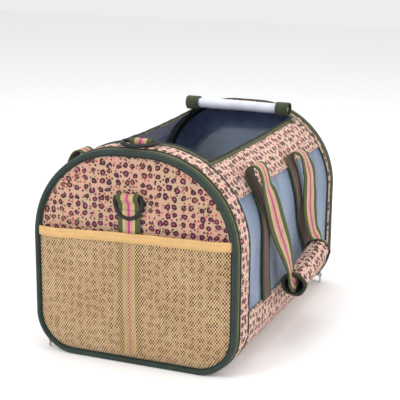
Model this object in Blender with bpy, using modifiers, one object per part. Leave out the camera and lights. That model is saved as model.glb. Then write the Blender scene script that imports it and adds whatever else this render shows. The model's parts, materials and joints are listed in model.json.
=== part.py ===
"""Soft-sided pet carrier: a duffel-shaped bag on two wire hoops, with a zip-open door at each end."""

import math

import bmesh
import bpy
from mathutils import Matrix, Vector

# Body, in metres. The body runs along Y, with its front door at -Y, and stands on Z = 0.
WIDTH = 0.280
HEIGHT = 0.280
LENGTH = 0.425
MIDDLE_Y = 0.003
TOP_RADIUS = 0.122
BOTTOM_RADIUS = 0.054
FABRIC = 0.002
GAP = 0.0003
ARC_STEP = math.radians(10)
POINT_STEP = 1e-4
WELD = 1e-6

# Rims and gussets
RIM_PIPING_R = 0.0045
TAPE_WIDTH = 0.0032
TEETH_WIDTH = 0.0018
TAPE_THICK = 0.0012
TAPE_INSET = 0.0002
SEAM_PIPING_R = 0.0020
HOOP_WIRE_R = 0.0008
HOOP_INSET = 0.0035
HOOP_TO_SEAM = 0.005
FRONT_GUSSET = 0.047
REAR_GUSSET = 0.030

# Side bands, by height on the wall
LOWER_BAND_TOP = 0.0755
UPPER_BAND_FOOT = 0.221
MESH_THICK = 0.0010
MESH_INSET = 0.0005

# Top opening
OPENING_HALF_WIDTH = 0.080
OPENING_TAPE = 0.010
CROSS_TAPE = 0.007
FLAP_ROLL_R = 0.0085
FLAP_ROLL_LENGTH = 0.144
FLAP_ROLL_Z = 0.277
FLAP_ROLL_GAP = 0.0035
FLAP_LOOP_SLACK = 0.0008
FLAP_LOOP_X = 0.072
FLAP_LOOP_WIDTH = 0.020
FLAP_LOOP_THICK = 0.0015
FLAP_SIDES = 16
FLAP_LOOP_SIDES = 20
CROSS_TAPE_STEPS = 16

# Webbing, handles and grips
WEB_WIDTH = 0.030
WEB_THICK = 0.002
SEWN_LIFT = 0.0026
FRONT_LEG_Y = -0.098
REAR_LEG_Y = 0.084
SEWN_LEG_FOOT = 0.0765
FRONT_LEG_TOP = 0.2285
REAR_LEG_TOP = 0.2165
# How far the rear legs lean from REAR_LEG_Y: (z, shift in y)
REAR_LEG_LEAN = (
    (0.1000, 0.000),
    (0.1280, -0.016),
    (0.1470, -0.029),
    (0.1700, -0.039),
    (0.1950, -0.041),
    (0.2165, -0.036),
)
# Centre lines of the hanging straps: (x, y from the leg's middle, z), from the seam down
FRONT_FALL = (
    (0.1215, 0.0000, 0.2335),
    (0.1360, -0.0050, 0.2280),
    (0.1438, -0.0010, 0.2060),
    (0.1472, 0.0110, 0.1780),
    (0.1492, 0.0240, 0.1540),
    (0.1525, 0.0370, 0.1300),
    (0.1580, 0.0315, 0.1040),
)
REAR_FALL = (
    (0.1262, -0.0320, 0.2235),
    (0.1375, -0.0200, 0.2170),
    (0.1434, -0.0140, 0.2025),
    (0.1470, -0.0220, 0.1840),
    (0.1492, -0.0250, 0.1560),
    (0.1530, -0.0190, 0.1280),
    (0.1585, -0.0020, 0.1180),
)
GRIP_X = 0.1625
GRIP_FRONT = (-0.0500, 0.0800)
GRIP_REAR = (0.0640, 0.0970)
GRIP_R = 0.0175
GRIP_WALL = 0.0035
GRIP_CORE_R = 0.0080
GRIP_CORE_REACH = 0.022
STRAP_END_REACH = 0.0209
STRAP_END_OUT = 0.001
STRAP_END_DROP = 0.002
BINDING_WIDTH = 0.007
BINDING_R = 0.0182
GRIP_SIDES = 20
GRIP_CORE_SIDES = 12

# Rings
RING_WIRE_R = 0.0023
RING_SLACK = 0.0006
RING_SHOULDER = 0.004
RING_LIFT = 0.0012
FRONT_RING_WIDTH = 0.042
TOP_RING_WIDTH = 0.050
RING_DEPTH = 0.027
FRONT_RING_Z = 0.2215
TOP_RING_Y = -0.178
TAB_TAIL = 0.016
TAB_THICK = 0.0026
TAB_LIFT = 0.0010
TAB_TO_STRAP = 0.0046
RING_BOW_STEPS = 14
RING_EYE_WALL = 0.0015
RING_EYE_SIDES = 12
TAB_SHOULDER = 0.7
TAB_NECK = 1.1

# Doors
PANEL_INSET = 0.0095
PANEL_THICK = 0.0030
PANEL_RECESS = 0.0035
WINDOW_INSET = 0.045
POCKET_DEPTH = 0.0094
POCKET_SHEET = 0.0012
POCKET_TOP = 0.1635
POCKET_BINDING = 0.011
BINDING_INSET = 0.006
BINDING_THICK = 0.0015
STRAP_X = -0.003
STRAP_FOOT = 0.012

# Base
BOARD_HALF_WIDTH = 0.088
BOARD_THICK = 0.0020
BOARD_END_GAP = 0.002
MAT_HALF_WIDTH = 0.094
MAT_THICK = 0.010
MAT_END_GAP = 0.024
MAT_LIFT = 0.0005
MAT_ROUNDING = 0.004

# Zip sliders
SLIDER_LENGTH = 0.0080
SLIDER_WIDTH = 0.0070
SLIDER_HEIGHT = 0.0030
CROWN_R = 0.0024
CROWN_THICK = 0.0020
PULL_WIRE_R = 0.0007
PULL_LENGTH = 0.0110
PULL_WIDTH = 0.0056
PULL_SLACK = 0.0005
CROWN_RISE = 0.0015
SLIDER_LIFT = 0.0006
CROWN_SIDES = 12
PULL_SHOULDER = 0.8
PULL_TIP = 0.5
TOP_SLIDER_REACH = 0.0865

FRONT_Y = MIDDLE_Y - LENGTH / 2
REAR_Y = MIDDLE_Y + LENGTH / 2
FLAT_BOTTOM = WIDTH / 2 - BOTTOM_RADIUS
CORNER_GIRTH = BOTTOM_RADIUS * math.pi / 2
SIDE_GIRTH = HEIGHT - TOP_RADIUS - BOTTOM_RADIUS
ARCH_GIRTH = TOP_RADIUS * math.pi / 2
FLAT_TOP = WIDTH / 2 - TOP_RADIUS
SIDE_START = FLAT_BOTTOM + CORNER_GIRTH
ARCH_START = SIDE_START + SIDE_GIRTH
ARCH_CENTRE_Z = HEIGHT - TOP_RADIUS
HALF_GIRTH = ARCH_START + ARCH_GIRTH + FLAT_TOP
WALL_LOW_Y = FRONT_Y + FRONT_GUSSET + SEAM_PIPING_R + GAP
WALL_HIGH_Y = REAR_Y - REAR_GUSSET - SEAM_PIPING_R - GAP
FRONT_FACE_Y = FRONT_Y + PANEL_RECESS
RING_EYE_R = RING_WIRE_R + RING_SLACK
RING_EYE_OUTER_R = RING_EYE_R + RING_EYE_WALL

COLOURS = {
    "leopard": (0.66, 0.47, 0.36),
    "dark_green": (0.05, 0.09, 0.06),
    "olive": (0.20, 0.24, 0.10),
    "mesh_blue": (0.24, 0.31, 0.42),
    "mesh_tan": (0.62, 0.42, 0.20),
    "webbing": (0.36, 0.30, 0.18),
    "black": (0.02, 0.02, 0.02),
    "silver": (0.70, 0.70, 0.70),
    "lining": (0.12, 0.17, 0.30),
    "flap": (0.72, 0.74, 0.82),
    "board": (0.10, 0.10, 0.11),
}
METALS = ("silver",)


def clear_scene():
    for thing in list(bpy.data.objects):
        bpy.data.objects.remove(thing, do_unlink=True)


def new_collection(name):
    made = bpy.data.collections.new(name)
    bpy.context.scene.collection.children.link(made)
    return made


def finish(thing, name, colour):
    """Names a sub-part, files it in the carrier's collection and gives it its own material."""
    thing.name = name
    thing.data.name = name
    for old in list(thing.users_collection):
        old.objects.unlink(thing)
    PARTS.objects.link(thing)
    material = bpy.data.materials.new(name)
    material.use_nodes = True
    shader = material.node_tree.nodes["Principled BSDF"]
    shader.inputs["Base Color"].default_value = (*COLOURS[colour], 1.0)
    shader.inputs["Roughness"].default_value = 0.3 if colour in METALS else 0.85
    shader.inputs["Metallic"].default_value = 1.0 if colour in METALS else 0.0
    thing.data.materials.clear()
    thing.data.materials.append(material)
    return thing


def hide_cutter(thing):
    """Files a helper solid away from the sub-parts."""
    for old in list(thing.users_collection):
        old.objects.unlink(thing)
    CUTTERS.objects.link(thing)
    thing.hide_render = True
    thing.display_type = "WIRE"
    return thing


def mesh_object(form):
    mesh = bpy.data.meshes.new("form")
    form.to_mesh(mesh)
    form.free()
    thing = bpy.data.objects.new("form", mesh)
    bpy.context.scene.collection.objects.link(thing)
    return thing


def curve_object(dimensions):
    curve = bpy.data.curves.new("form", "CURVE")
    curve.dimensions = dimensions
    thing = bpy.data.objects.new("form", curve)
    bpy.context.scene.collection.objects.link(thing)
    return thing


def add_spline(curve, points, cyclic):
    spline = curve.splines.new("POLY")
    spline.points.add(len(points) - 1)
    for slot, point in zip(spline.points, points):
        slot.co = (*point, 1.0)
    spline.use_cyclic_u = cyclic


def section_point(girth, offset=0.0):
    """Point (x, z) of the body's section at a girth from the bottom centre, up the +X wall."""
    side = -1.0 if girth < 0 else 1.0
    run = abs(girth)
    if run <= FLAT_BOTTOM:
        return side * run, -offset
    if run <= SIDE_START:
        centre, radius = (FLAT_BOTTOM, BOTTOM_RADIUS), BOTTOM_RADIUS
        angle = (run - FLAT_BOTTOM) / BOTTOM_RADIUS - math.pi / 2
    elif run <= ARCH_START:
        return side * (WIDTH / 2 + offset), BOTTOM_RADIUS + run - SIDE_START
    elif run <= ARCH_START + ARCH_GIRTH:
        centre, radius = (FLAT_TOP, ARCH_CENTRE_Z), TOP_RADIUS
        angle = (run - ARCH_START) / TOP_RADIUS
    else:
        return side * (HALF_GIRTH - run), HEIGHT + offset
    x = centre[0] + (radius + offset) * math.cos(angle)
    return side * x, centre[1] + (radius + offset) * math.sin(angle)


def half_breaks():
    """Girths on the +X half where a facet of the section starts."""
    breaks = [FLAT_BOTTOM]
    for start, girth in ((FLAT_BOTTOM, CORNER_GIRTH), (ARCH_START, ARCH_GIRTH)):
        steps = round(math.pi / 2 / ARC_STEP)
        breaks += [start + girth * i / steps for i in range(steps + 1)]
    return sorted(set(breaks))


def section_run(start, end, offset=0.0):
    """Points (x, z) from one girth to another, with a point at each facet's start."""
    breaks = half_breaks()
    breaks += [-b for b in breaks]
    inside = sorted(b for b in breaks if start + POINT_STEP < b < end - POINT_STEP)
    return [section_point(g, offset) for g in (start, *inside, end)]


def section_ring(offset=0.0):
    """Points (x, z) all the way round, without repeating the first."""
    return section_run(-HALF_GIRTH, HALF_GIRTH, offset)[:-1]


def wall_girth(height):
    """Girth at which the wall reaches a height."""
    if height <= ARCH_CENTRE_Z:
        return SIDE_START + height - BOTTOM_RADIUS
    return ARCH_START + TOP_RADIUS * math.asin((height - ARCH_CENTRE_Z) / TOP_RADIUS)


def arch_girth(reach):
    """Girth at which the arch is a given distance from the middle plane."""
    return ARCH_START + TOP_RADIUS * math.acos((reach - FLAT_TOP) / TOP_RADIUS)


def strip(name, colour, path, width, thickness, cyclic=False):
    """A band whose outer face follows path, (x, y, z) points, and which is width wide along Y."""
    form = bmesh.new()
    corners = [form.verts.new((x, y - width / 2, z)) for x, y, z in path]
    pairs = list(zip(corners, corners[1:]))
    if cyclic:
        pairs.append((corners[-1], corners[0]))
    edges = [form.edges.new(pair) for pair in pairs]
    grown = bmesh.ops.extrude_edge_only(form, edges=edges)["geom"]
    moved = [v for v in grown if isinstance(v, bmesh.types.BMVert)]
    bmesh.ops.translate(form, vec=(0, width, 0), verts=moved)
    bmesh.ops.recalc_face_normals(form, faces=form.faces)
    first = edges[0].link_faces[0]
    along = corners[1].co - corners[0].co
    if first.normal.dot(along.cross(Vector((0, 1, 0)))) > 0:
        bmesh.ops.reverse_faces(form, faces=form.faces)
    thing = mesh_object(form)
    shell = thing.modifiers.new("thickness", "SOLIDIFY")
    shell.thickness = thickness
    shell.offset = -1.0
    return finish(thing, name, colour)


def wall(name, colour, start, end, low_y, high_y, thickness, offset=0.0):
    """Part of the body's wall, from girth start to girth end."""
    middle = (low_y + high_y) / 2
    path = [(x, middle, z) for x, z in section_run(start, end, offset)]
    return strip(name, colour, path, high_y - low_y, thickness)


def band(name, colour, low_y, high_y, thickness, offset=0.0):
    """A closed band all the way round the section."""
    path = [(x, (low_y + high_y) / 2, z) for x, z in section_ring(offset)]
    return strip(name, colour, path, high_y - low_y, thickness, cyclic=True)


def ring_tube(name, colour, radius, y, offset):
    """A round piping or wire that follows the section at one Y."""
    thing = curve_object("3D")
    add_spline(thing.data, [(x, y, z) for x, z in section_ring(offset)], True)
    thing.data.bevel_depth = radius
    thing.data.bevel_resolution = 2
    return finish(thing, name, colour)


def plate(name, colour, outlines, low_y, high_y):
    """Flat outlines (x, z) with their holes, filled and made thick along Y."""
    thing = curve_object("2D")
    thing.data.fill_mode = "BOTH"
    thing.data.extrude = (high_y - low_y) / 2
    for outline in outlines:
        add_spline(thing.data, [(x, z, 0.0) for x, z in outline], True)
    thing.rotation_euler = (math.pi / 2, 0, 0)
    thing.location = (0, (low_y + high_y) / 2, 0)
    return finish(thing, name, colour)


def box(name, colour, low, high):
    form = bmesh.new()
    bmesh.ops.create_cube(form, size=1.0)
    size = [b - a for a, b in zip(low, high)]
    bmesh.ops.scale(form, vec=size, verts=form.verts)
    centre = [(a + b) / 2 for a, b in zip(low, high)]
    bmesh.ops.translate(form, vec=centre, verts=form.verts)
    return finish(mesh_object(form), name, colour)


def axis_matrix(start, end):
    """Frame with its Z along start to end and its origin at the middle."""
    run = Vector(end) - Vector(start)
    turn = run.to_track_quat("Z", "Y").to_matrix().to_4x4()
    return Matrix.Translation((Vector(start) + Vector(end)) / 2) @ turn


def rod(start, end, radius, segments, capped=True):
    form = bmesh.new()
    bmesh.ops.create_cone(
        form,
        cap_ends=capped,
        segments=segments,
        radius1=radius,
        radius2=radius,
        depth=(Vector(end) - Vector(start)).length,
        matrix=axis_matrix(start, end),
    )
    return mesh_object(form)


def sleeve(name, colour, start, end, radius, thickness):
    """An open-ended round tube with a wall."""
    thing = rod(start, end, radius, GRIP_SIDES, capped=False)
    shell = thing.modifiers.new("thickness", "SOLIDIFY")
    shell.thickness = thickness
    shell.offset = -1.0
    thing.data.shade_smooth()
    return finish(thing, name, colour)


def join(thing, other, solver="EXACT"):
    """Adds another closed solid to this one."""
    union = thing.modifiers.new("join", "BOOLEAN")
    union.operation = "UNION"
    union.solver = solver
    union.object = hide_cutter(other)
    return thing


def curve_to_mesh(thing):
    """Turns a curve object into a welded mesh object in the same place."""
    seen = bpy.context.evaluated_depsgraph_get()
    seen.update()
    mesh = bpy.data.meshes.new_from_object(thing.evaluated_get(seen))
    form = bmesh.new()
    form.from_mesh(mesh)
    bmesh.ops.remove_doubles(form, verts=form.verts, dist=WELD)
    bmesh.ops.recalc_face_normals(form, faces=form.faces)
    made = mesh_object(form)
    made.matrix_world = thing.matrix_world.copy()
    bpy.data.objects.remove(thing, do_unlink=True)
    return made


def circle(centre, radius, count):
    turns = [2 * math.pi * i / count for i in range(count)]
    return [(centre[0] + radius * math.cos(t), centre[1] + radius * math.sin(t)) for t in turns]


def build_floor():
    wall("floor_panel", "leopard", -FLAT_BOTTOM, FLAT_BOTTOM, WALL_LOW_Y, WALL_HIGH_Y, FABRIC)
    board_low = FABRIC + GAP
    box(
        "base_board",
        "board",
        (-BOARD_HALF_WIDTH, WALL_LOW_Y + BOARD_END_GAP, board_low),
        (BOARD_HALF_WIDTH, WALL_HIGH_Y - BOARD_END_GAP, board_low + BOARD_THICK),
    )
    mat_low = board_low + BOARD_THICK + MAT_LIFT
    mat = box(
        "floor_mat",
        "lining",
        (-MAT_HALF_WIDTH, FRONT_Y + MAT_END_GAP, mat_low),
        (MAT_HALF_WIDTH, REAR_Y - MAT_END_GAP, mat_low + MAT_THICK),
    )
    rounding = mat.modifiers.new("soft edges", "BEVEL")
    rounding.width = MAT_ROUNDING
    rounding.segments = 2


def build_side(side, label):
    """Lower band, mesh window, upper band and opening tape of one long side."""
    window_foot = wall_girth(LOWER_BAND_TOP)
    window_head = wall_girth(UPPER_BAND_FOOT)
    band_head = arch_girth(OPENING_HALF_WIDTH + OPENING_TAPE)
    tape_head = arch_girth(OPENING_HALF_WIDTH)
    pieces = (
        (f"lower_band_{label}", "leopard", FLAT_BOTTOM + GAP, window_foot, FABRIC, 0.0),
        (f"side_mesh_{label}", "mesh_blue", window_foot + GAP, window_head, MESH_THICK, -MESH_INSET),
        (f"upper_band_{label}", "leopard", window_head + GAP, band_head, FABRIC, 0.0),
        (f"opening_tape_{label}", "olive", band_head + GAP, tape_head, TAPE_THICK, 0.0),
    )
    for name, colour, start, end, thickness, offset in pieces:
        ends = sorted((side * start, side * end))
        wall(name, colour, ends[0], ends[1], WALL_LOW_Y, WALL_HIGH_Y, thickness, offset)


def build_gusset(label, end_y, inward, gusset):
    """Zip, leopard band, seam piping and wire hoop of one end. inward is +1 at the front."""

    def span(start, width):
        edges = (end_y + inward * start, end_y + inward * (start + width))
        return min(edges), max(edges)

    reach = 2 * RIM_PIPING_R + GAP + TAPE_WIDTH + GAP
    band(f"{label}_zip_teeth", "black", *span(reach, TEETH_WIDTH), TAPE_THICK)
    reach += TEETH_WIDTH + GAP
    band(f"{label}_body_tape", "olive", *span(reach, TAPE_WIDTH), TAPE_THICK, -TAPE_INSET)
    reach += TAPE_WIDTH + GAP
    width = gusset - SEAM_PIPING_R - GAP - reach
    band(f"{label}_gusset", "leopard", *span(reach, width), FABRIC)
    seam_y = end_y + inward * gusset
    ring_tube(f"{label}_seam_piping", "dark_green", SEAM_PIPING_R, seam_y, -SEAM_PIPING_R)
    hoop_y = seam_y - inward * HOOP_TO_SEAM
    ring_tube(f"{label}_wire_hoop", "silver", HOOP_WIRE_R, hoop_y, -HOOP_INSET)


def build_door_rim(label, end_y, inward):
    """Rim piping and the door's half of the zip tape."""
    piping_y = end_y + inward * RIM_PIPING_R
    ring_tube(f"{label}_rim_piping", "dark_green", RIM_PIPING_R, piping_y, -RIM_PIPING_R)
    start = end_y + inward * (2 * RIM_PIPING_R + GAP)
    end = start + inward * TAPE_WIDTH
    low_y, high_y = sorted((start, end))
    band(f"{label}_door_tape", "olive", low_y, high_y, TAPE_THICK, -TAPE_INSET)


def build_front_door():
    build_door_rim("front", FRONT_Y, 1)
    outline = section_ring(-PANEL_INSET)
    plate("front_panel", "leopard", [outline], FRONT_FACE_Y, FRONT_FACE_Y + PANEL_THICK)
    build_pocket()
    strap_y = FRONT_FACE_Y - GAP
    strap_head = FRONT_RING_Z - TAB_TAIL - TAB_TO_STRAP
    box(
        "front_strap",
        "webbing",
        (STRAP_X - WEB_WIDTH / 2, strap_y - WEB_THICK, STRAP_FOOT),
        (STRAP_X + WEB_WIDTH / 2, strap_y, strap_head),
    )


def build_pocket():
    """Shallow mesh tray on the lower part of the front door, open at its top, and its binding."""
    form = bmesh.new()
    head = wall_girth(POCKET_TOP)
    front = FRONT_FACE_Y - POCKET_DEPTH
    edge = [form.verts.new((x, front, z)) for x, z in section_run(-head, head, -PANEL_INSET)]
    form.faces.new(edge)
    rim = [form.edges.get(pair) for pair in zip(edge, edge[1:])]
    grown = bmesh.ops.extrude_edge_only(form, edges=rim)["geom"]
    moved = [v for v in grown if isinstance(v, bmesh.types.BMVert)]
    bmesh.ops.translate(form, vec=(0, POCKET_DEPTH - GAP, 0), verts=moved)
    bmesh.ops.recalc_face_normals(form, faces=form.faces)
    sheet = next(f for f in form.faces if len(f.verts) > 4)
    if sheet.normal.y > 0:
        bmesh.ops.reverse_faces(form, faces=form.faces)
    tray = mesh_object(form)
    shell = tray.modifiers.new("thickness", "SOLIDIFY")
    shell.thickness = POCKET_SHEET
    shell.offset = -1.0
    finish(tray, "front_pocket", "mesh_tan")
    reach = WIDTH / 2 - BINDING_INSET
    box(
        "pocket_binding",
        "mesh_tan",
        (-reach, front - GAP, POCKET_TOP + GAP),
        (reach, front + BINDING_THICK, POCKET_TOP + POCKET_BINDING),
    )


def build_rear_door():
    build_door_rim("rear", REAR_Y, -1)
    face = REAR_Y - PANEL_RECESS
    outline = section_ring(-PANEL_INSET)
    window = section_ring(-WINDOW_INSET)
    plate("rear_panel", "leopard", [outline, window], face - PANEL_THICK, face)
    netting = section_ring(-WINDOW_INSET - GAP)
    middle = face - PANEL_THICK / 2
    plate("rear_mesh", "mesh_blue", [netting], middle - MESH_THICK / 2, middle + MESH_THICK / 2)


def ring_outline(width):
    """Centre line (x, depth) of a D-ring whose bar lies on depth 0 and whose bow is below it."""
    reach = width / 2 - RING_WIRE_R
    bow = []
    for i in range(RING_BOW_STEPS + 1):
        turn = math.pi * i / RING_BOW_STEPS
        depth = RING_SHOULDER + (RING_DEPTH - RING_SHOULDER) * math.sin(turn)
        bow.append((reach * math.cos(turn), -depth))
    return [(-reach, 0.0), (reach, 0.0), *bow]


def d_ring(name, width, matrix):
    """A D-ring with its bar along local X at its origin and its bow along local -Z."""
    thing = curve_object("3D")
    add_spline(thing.data, [(x, 0.0, z) for x, z in ring_outline(width)], True)
    thing.data.bevel_depth = RING_WIRE_R
    thing.data.bevel_resolution = 2
    thing.matrix_world = matrix
    return finish(thing, name, "black")


def ring_tab(name, centre, tail_along, face_along):
    """Webbing folded round a ring's bar: a round eye with a flat tail, WEB_WIDTH wide along X.

    tail_along and face_along are (y, z) directions: down the tail, and away from the cloth.
    """
    outer = RING_EYE_OUTER_R
    tail = Vector(tail_along)
    away = Vector(face_along)
    hub = Vector(centre)
    low = hub - away * (outer + TAB_LIFT)
    spread = [math.radians(a) for a in range(0, 181, 18)]
    bow = [hub + away * outer * math.cos(t) - tail * outer * math.sin(t) for t in spread]
    foot = low + tail * TAB_TAIL
    outline = [hub + (tail + away) * outer * TAB_SHOULDER, *bow]
    outline += [low + away * GAP, foot + away * GAP, foot + away * TAB_THICK]
    outline += [low + tail * outer * TAB_NECK + away * TAB_THICK]
    hole = circle(hub, RING_EYE_R, RING_EYE_SIDES)
    thing = curve_object("2D")
    thing.data.fill_mode = "BOTH"
    thing.data.extrude = WEB_WIDTH / 2
    for points in (outline, hole):
        add_spline(thing.data, [(p[0], p[1], 0.0) for p in points], True)
    local_to_world = Matrix(((0, 0, 1), (1, 0, 0), (0, 1, 0))).to_4x4()
    thing.matrix_world = local_to_world
    return finish(thing, name, "webbing")


def build_rings():
    front_hub = (FRONT_FACE_Y - RING_EYE_OUTER_R - RING_LIFT, FRONT_RING_Z)
    tab = ring_tab("front_ring_tab", front_hub, (0, -1), (-1, 0))
    tab.location.x = STRAP_X
    here = Matrix.Translation((STRAP_X, *front_hub))
    d_ring("front_ring", FRONT_RING_WIDTH, here)
    top_hub = (TOP_RING_Y, HEIGHT + RING_EYE_OUTER_R + RING_LIFT)
    ring_tab("top_ring_tab", top_hub, (1, 0), (0, 1))
    flat = Matrix.Translation((0, *top_hub)) @ Matrix.Rotation(math.radians(-90), 4, "X")
    d_ring("top_ring", TOP_RING_WIDTH, flat)


def build_opening():
    """Cross tapes of the top opening, the rolled flap and the loops that hold it."""
    reach = OPENING_HALF_WIDTH - 2 * GAP
    for label, start in (("front", WALL_LOW_Y), ("rear", WALL_HIGH_Y - CROSS_TAPE)):
        path = []
        for i in range(CROSS_TAPE_STEPS + 1):
            x = reach - 2 * reach * i / CROSS_TAPE_STEPS
            path.append((x, start + CROSS_TAPE / 2, arch_height(x)))
        strip(f"opening_tape_{label}", "olive", path, CROSS_TAPE, TAPE_THICK)
    roll_y = WALL_HIGH_Y - CROSS_TAPE - FLAP_ROLL_R - FLAP_ROLL_GAP
    ends = [(s * FLAP_ROLL_LENGTH / 2, roll_y, FLAP_ROLL_Z) for s in (-1, 1)]
    roll = rod(ends[0], ends[1], FLAP_ROLL_R, FLAP_SIDES)
    finish(roll, "rolled_flap", "flap")
    for side, label in ((1, "right"), (-1, "left")):
        flap_loop(f"flap_loop_{label}", side * FLAP_LOOP_X, roll_y)


def arch_height(x):
    """Height of the body's top at a distance from the middle plane."""
    reach = max(abs(x) - FLAT_TOP, 0.0)
    return ARCH_CENTRE_Z + math.sqrt(TOP_RADIUS**2 - reach**2)


def flap_loop(name, x, roll_y):
    """Webbing loop all the way round the rolled flap, FLAP_LOOP_WIDTH wide along X."""
    inner = FLAP_ROLL_R + FLAP_LOOP_SLACK
    thing = curve_object("2D")
    thing.data.fill_mode = "BOTH"
    thing.data.extrude = FLAP_LOOP_WIDTH / 2
    for radius in (inner, inner + FLAP_LOOP_THICK):
        points = circle((roll_y, FLAP_ROLL_Z), radius, FLAP_LOOP_SIDES)
        add_spline(thing.data, [(y, z, 0.0) for y, z in points], True)
    thing.matrix_world = Matrix(((0, 0, 1), (1, 0, 0), (0, 1, 0))).to_4x4()
    thing.location.x = x
    return finish(thing, name, "olive")


def build_sewn_leg(side, name, leg_y, top, lean):
    """Webbing up the wall. lean holds (z, shift in y) where the leg leaves its own line."""
    ends = sorted((side * wall_girth(SEWN_LEG_FOOT), side * wall_girth(top)))
    low_y, high_y = leg_y - WEB_WIDTH / 2, leg_y + WEB_WIDTH / 2
    leg = wall(name, "webbing", ends[0], ends[1], low_y, high_y, WEB_THICK, SEWN_LIFT)
    if lean:
        form = bmesh.new()
        form.from_mesh(leg.data)
        for vert in form.verts:
            vert.co.y += shift_at((leg.matrix_world @ vert.co).z, lean)
        form.to_mesh(leg.data)
        form.free()


def shift_at(height, lean):
    """Shift at a height, on straight lines between the pairs of lean."""
    if height <= lean[0][0]:
        return lean[0][1]
    for (low, start), (high, end) in zip(lean, lean[1:]):
        if height <= high:
            return start + (end - start) * (height - low) / (high - low)
    return lean[-1][1]


def strap_path(side, front):
    """Centre line of one hanging strap, from the top seam down to the grip's end."""
    if front:
        falls, start, end, reach = FRONT_FALL, FRONT_LEG_Y, GRIP_FRONT, -STRAP_END_REACH
    else:
        falls, start, end, reach = REAR_FALL, REAR_LEG_Y, GRIP_REAR, STRAP_END_REACH
    path = [(x, start + y, z) for x, y, z in falls]
    path.append((GRIP_X + STRAP_END_OUT, end[0] + reach, end[1] - STRAP_END_DROP))
    return [(side * x, y, z) for x, y, z in path]


def build_handle(side, label):
    """Two sewn legs, the free strap, its grip and the grip's bindings, on one long side."""
    build_sewn_leg(side, f"sewn_leg_{label}_front", FRONT_LEG_Y, FRONT_LEG_TOP, ())
    build_sewn_leg(side, f"sewn_leg_{label}_rear", REAR_LEG_Y, REAR_LEG_TOP, REAR_LEG_LEAN)
    front_end = Vector((side * GRIP_X, *GRIP_FRONT))
    rear_end = Vector((side * GRIP_X, *GRIP_REAR))
    along = (rear_end - front_end).normalized()
    order = 1 if side > 0 else -1
    legs = []
    for place, front in (("front", True), ("rear", False)):
        path = strap_path(side, front)[::order]
        legs.append(strip(f"strap_{place}", "webbing", path, WEB_WIDTH, WEB_THICK))
    core = rod(
        front_end - along * GRIP_CORE_REACH,
        rear_end + along * GRIP_CORE_REACH,
        GRIP_CORE_R,
        GRIP_CORE_SIDES,
    )
    strap = finish(core, f"handle_strap_{label}", "webbing")
    for leg in legs:
        join(strap, leg)
    inset = along * (BINDING_WIDTH + GAP)
    sleeve(f"grip_{label}", "leopard", front_end + inset, rear_end - inset, GRIP_R, GRIP_WALL)
    binding = GRIP_WALL + BINDING_R - GRIP_R
    for place, start in (("front", front_end), ("rear", rear_end - along * BINDING_WIDTH)):
        name = f"grip_binding_{label}_{place}"
        sleeve(name, "olive", start, start + along * BINDING_WIDTH, BINDING_R, binding)


def frame_matrix(origin, along, out):
    """Frame with X along the zip, Z away from the cloth and Y across."""
    x = Vector(along).normalized()
    z = Vector(out).normalized()
    y = z.cross(x)
    turn = Matrix((x, y, z)).transposed().to_4x4()
    return Matrix.Translation(origin) @ turn


def build_slider(label, origin, along, out, hang):
    """Zip slider with a crown, and the wire pull that swings in it and lies along hang."""
    frame = frame_matrix(origin, along, out)
    form = bmesh.new()
    bmesh.ops.create_cube(form, size=1.0)
    bmesh.ops.scale(form, vec=(SLIDER_LENGTH, SLIDER_WIDTH, SLIDER_HEIGHT), verts=form.verts)
    bmesh.ops.translate(form, vec=(0, 0, SLIDER_HEIGHT / 2), verts=form.verts)
    base = mesh_object(form)
    base.matrix_world = frame
    hub = (0.0, SLIDER_HEIGHT + CROWN_RISE)
    crown = curve_object("2D")
    crown.data.fill_mode = "BOTH"
    crown.data.extrude = CROWN_THICK / 2
    for radius in (CROWN_R, PULL_WIRE_R + PULL_SLACK):
        add_spline(crown.data, [(x, z, 0.0) for x, z in circle(hub, radius, CROWN_SIDES)], True)
    crown.matrix_world = frame @ Matrix.Rotation(math.pi / 2, 4, "X")
    slider = finish(base, f"{label}_slider", "silver")
    join(slider, curve_to_mesh(crown), "MANIFOLD")
    pull = curve_object("3D")
    half = PULL_WIDTH / 2
    loop = [(0, -half, 0), (0, half, 0), (PULL_LENGTH * PULL_SHOULDER, half, 0)]
    loop += [(PULL_LENGTH, half * PULL_TIP, 0), (PULL_LENGTH, -half * PULL_TIP, 0)]
    loop += [(PULL_LENGTH * PULL_SHOULDER, -half, 0)]
    add_spline(pull.data, loop, True)
    pull.data.bevel_depth = PULL_WIRE_R
    pull.data.bevel_resolution = 2
    across = frame.to_3x3() @ Vector((0, 1, 0))
    pull.matrix_world = frame_matrix(frame @ Vector((0, 0, hub[1])), hang, Vector(hang).cross(across))
    finish(pull, f"{label}_pull", "silver")


def build_sliders():
    """One slider parked low in each door's corner, and one at the rear of the opening's right edge."""
    zip_reach = 2 * RIM_PIPING_R + GAP + TAPE_WIDTH + GAP + TEETH_WIDTH / 2
    for label, end_y, inward, side in (("front", FRONT_Y, 1, -1), ("rear", REAR_Y, -1, 1)):
        out = Vector((side, 0, -1)).normalized()
        down = Vector((-side, 0, -1)).normalized()
        centre = Vector((side * FLAT_BOTTOM, end_y + inward * zip_reach, BOTTOM_RADIUS))
        origin = centre + out * (BOTTOM_RADIUS + SLIDER_LIFT)
        build_slider(f"{label}_zip", origin, down, out, (0, 0, -1))
    girth = arch_girth(TOP_SLIDER_REACH)
    x, z = section_point(girth, SLIDER_LIFT)
    surface = Vector(section_point(girth))
    raised = Vector((x, z))
    out = (raised - surface).normalized()
    origin = (x, WALL_HIGH_Y - CROSS_TAPE - FLAP_ROLL_R, z)
    build_slider("top_zip", origin, (0, -1, 0), (out[0], 0, out[1]), (0, -1, 0))


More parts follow.
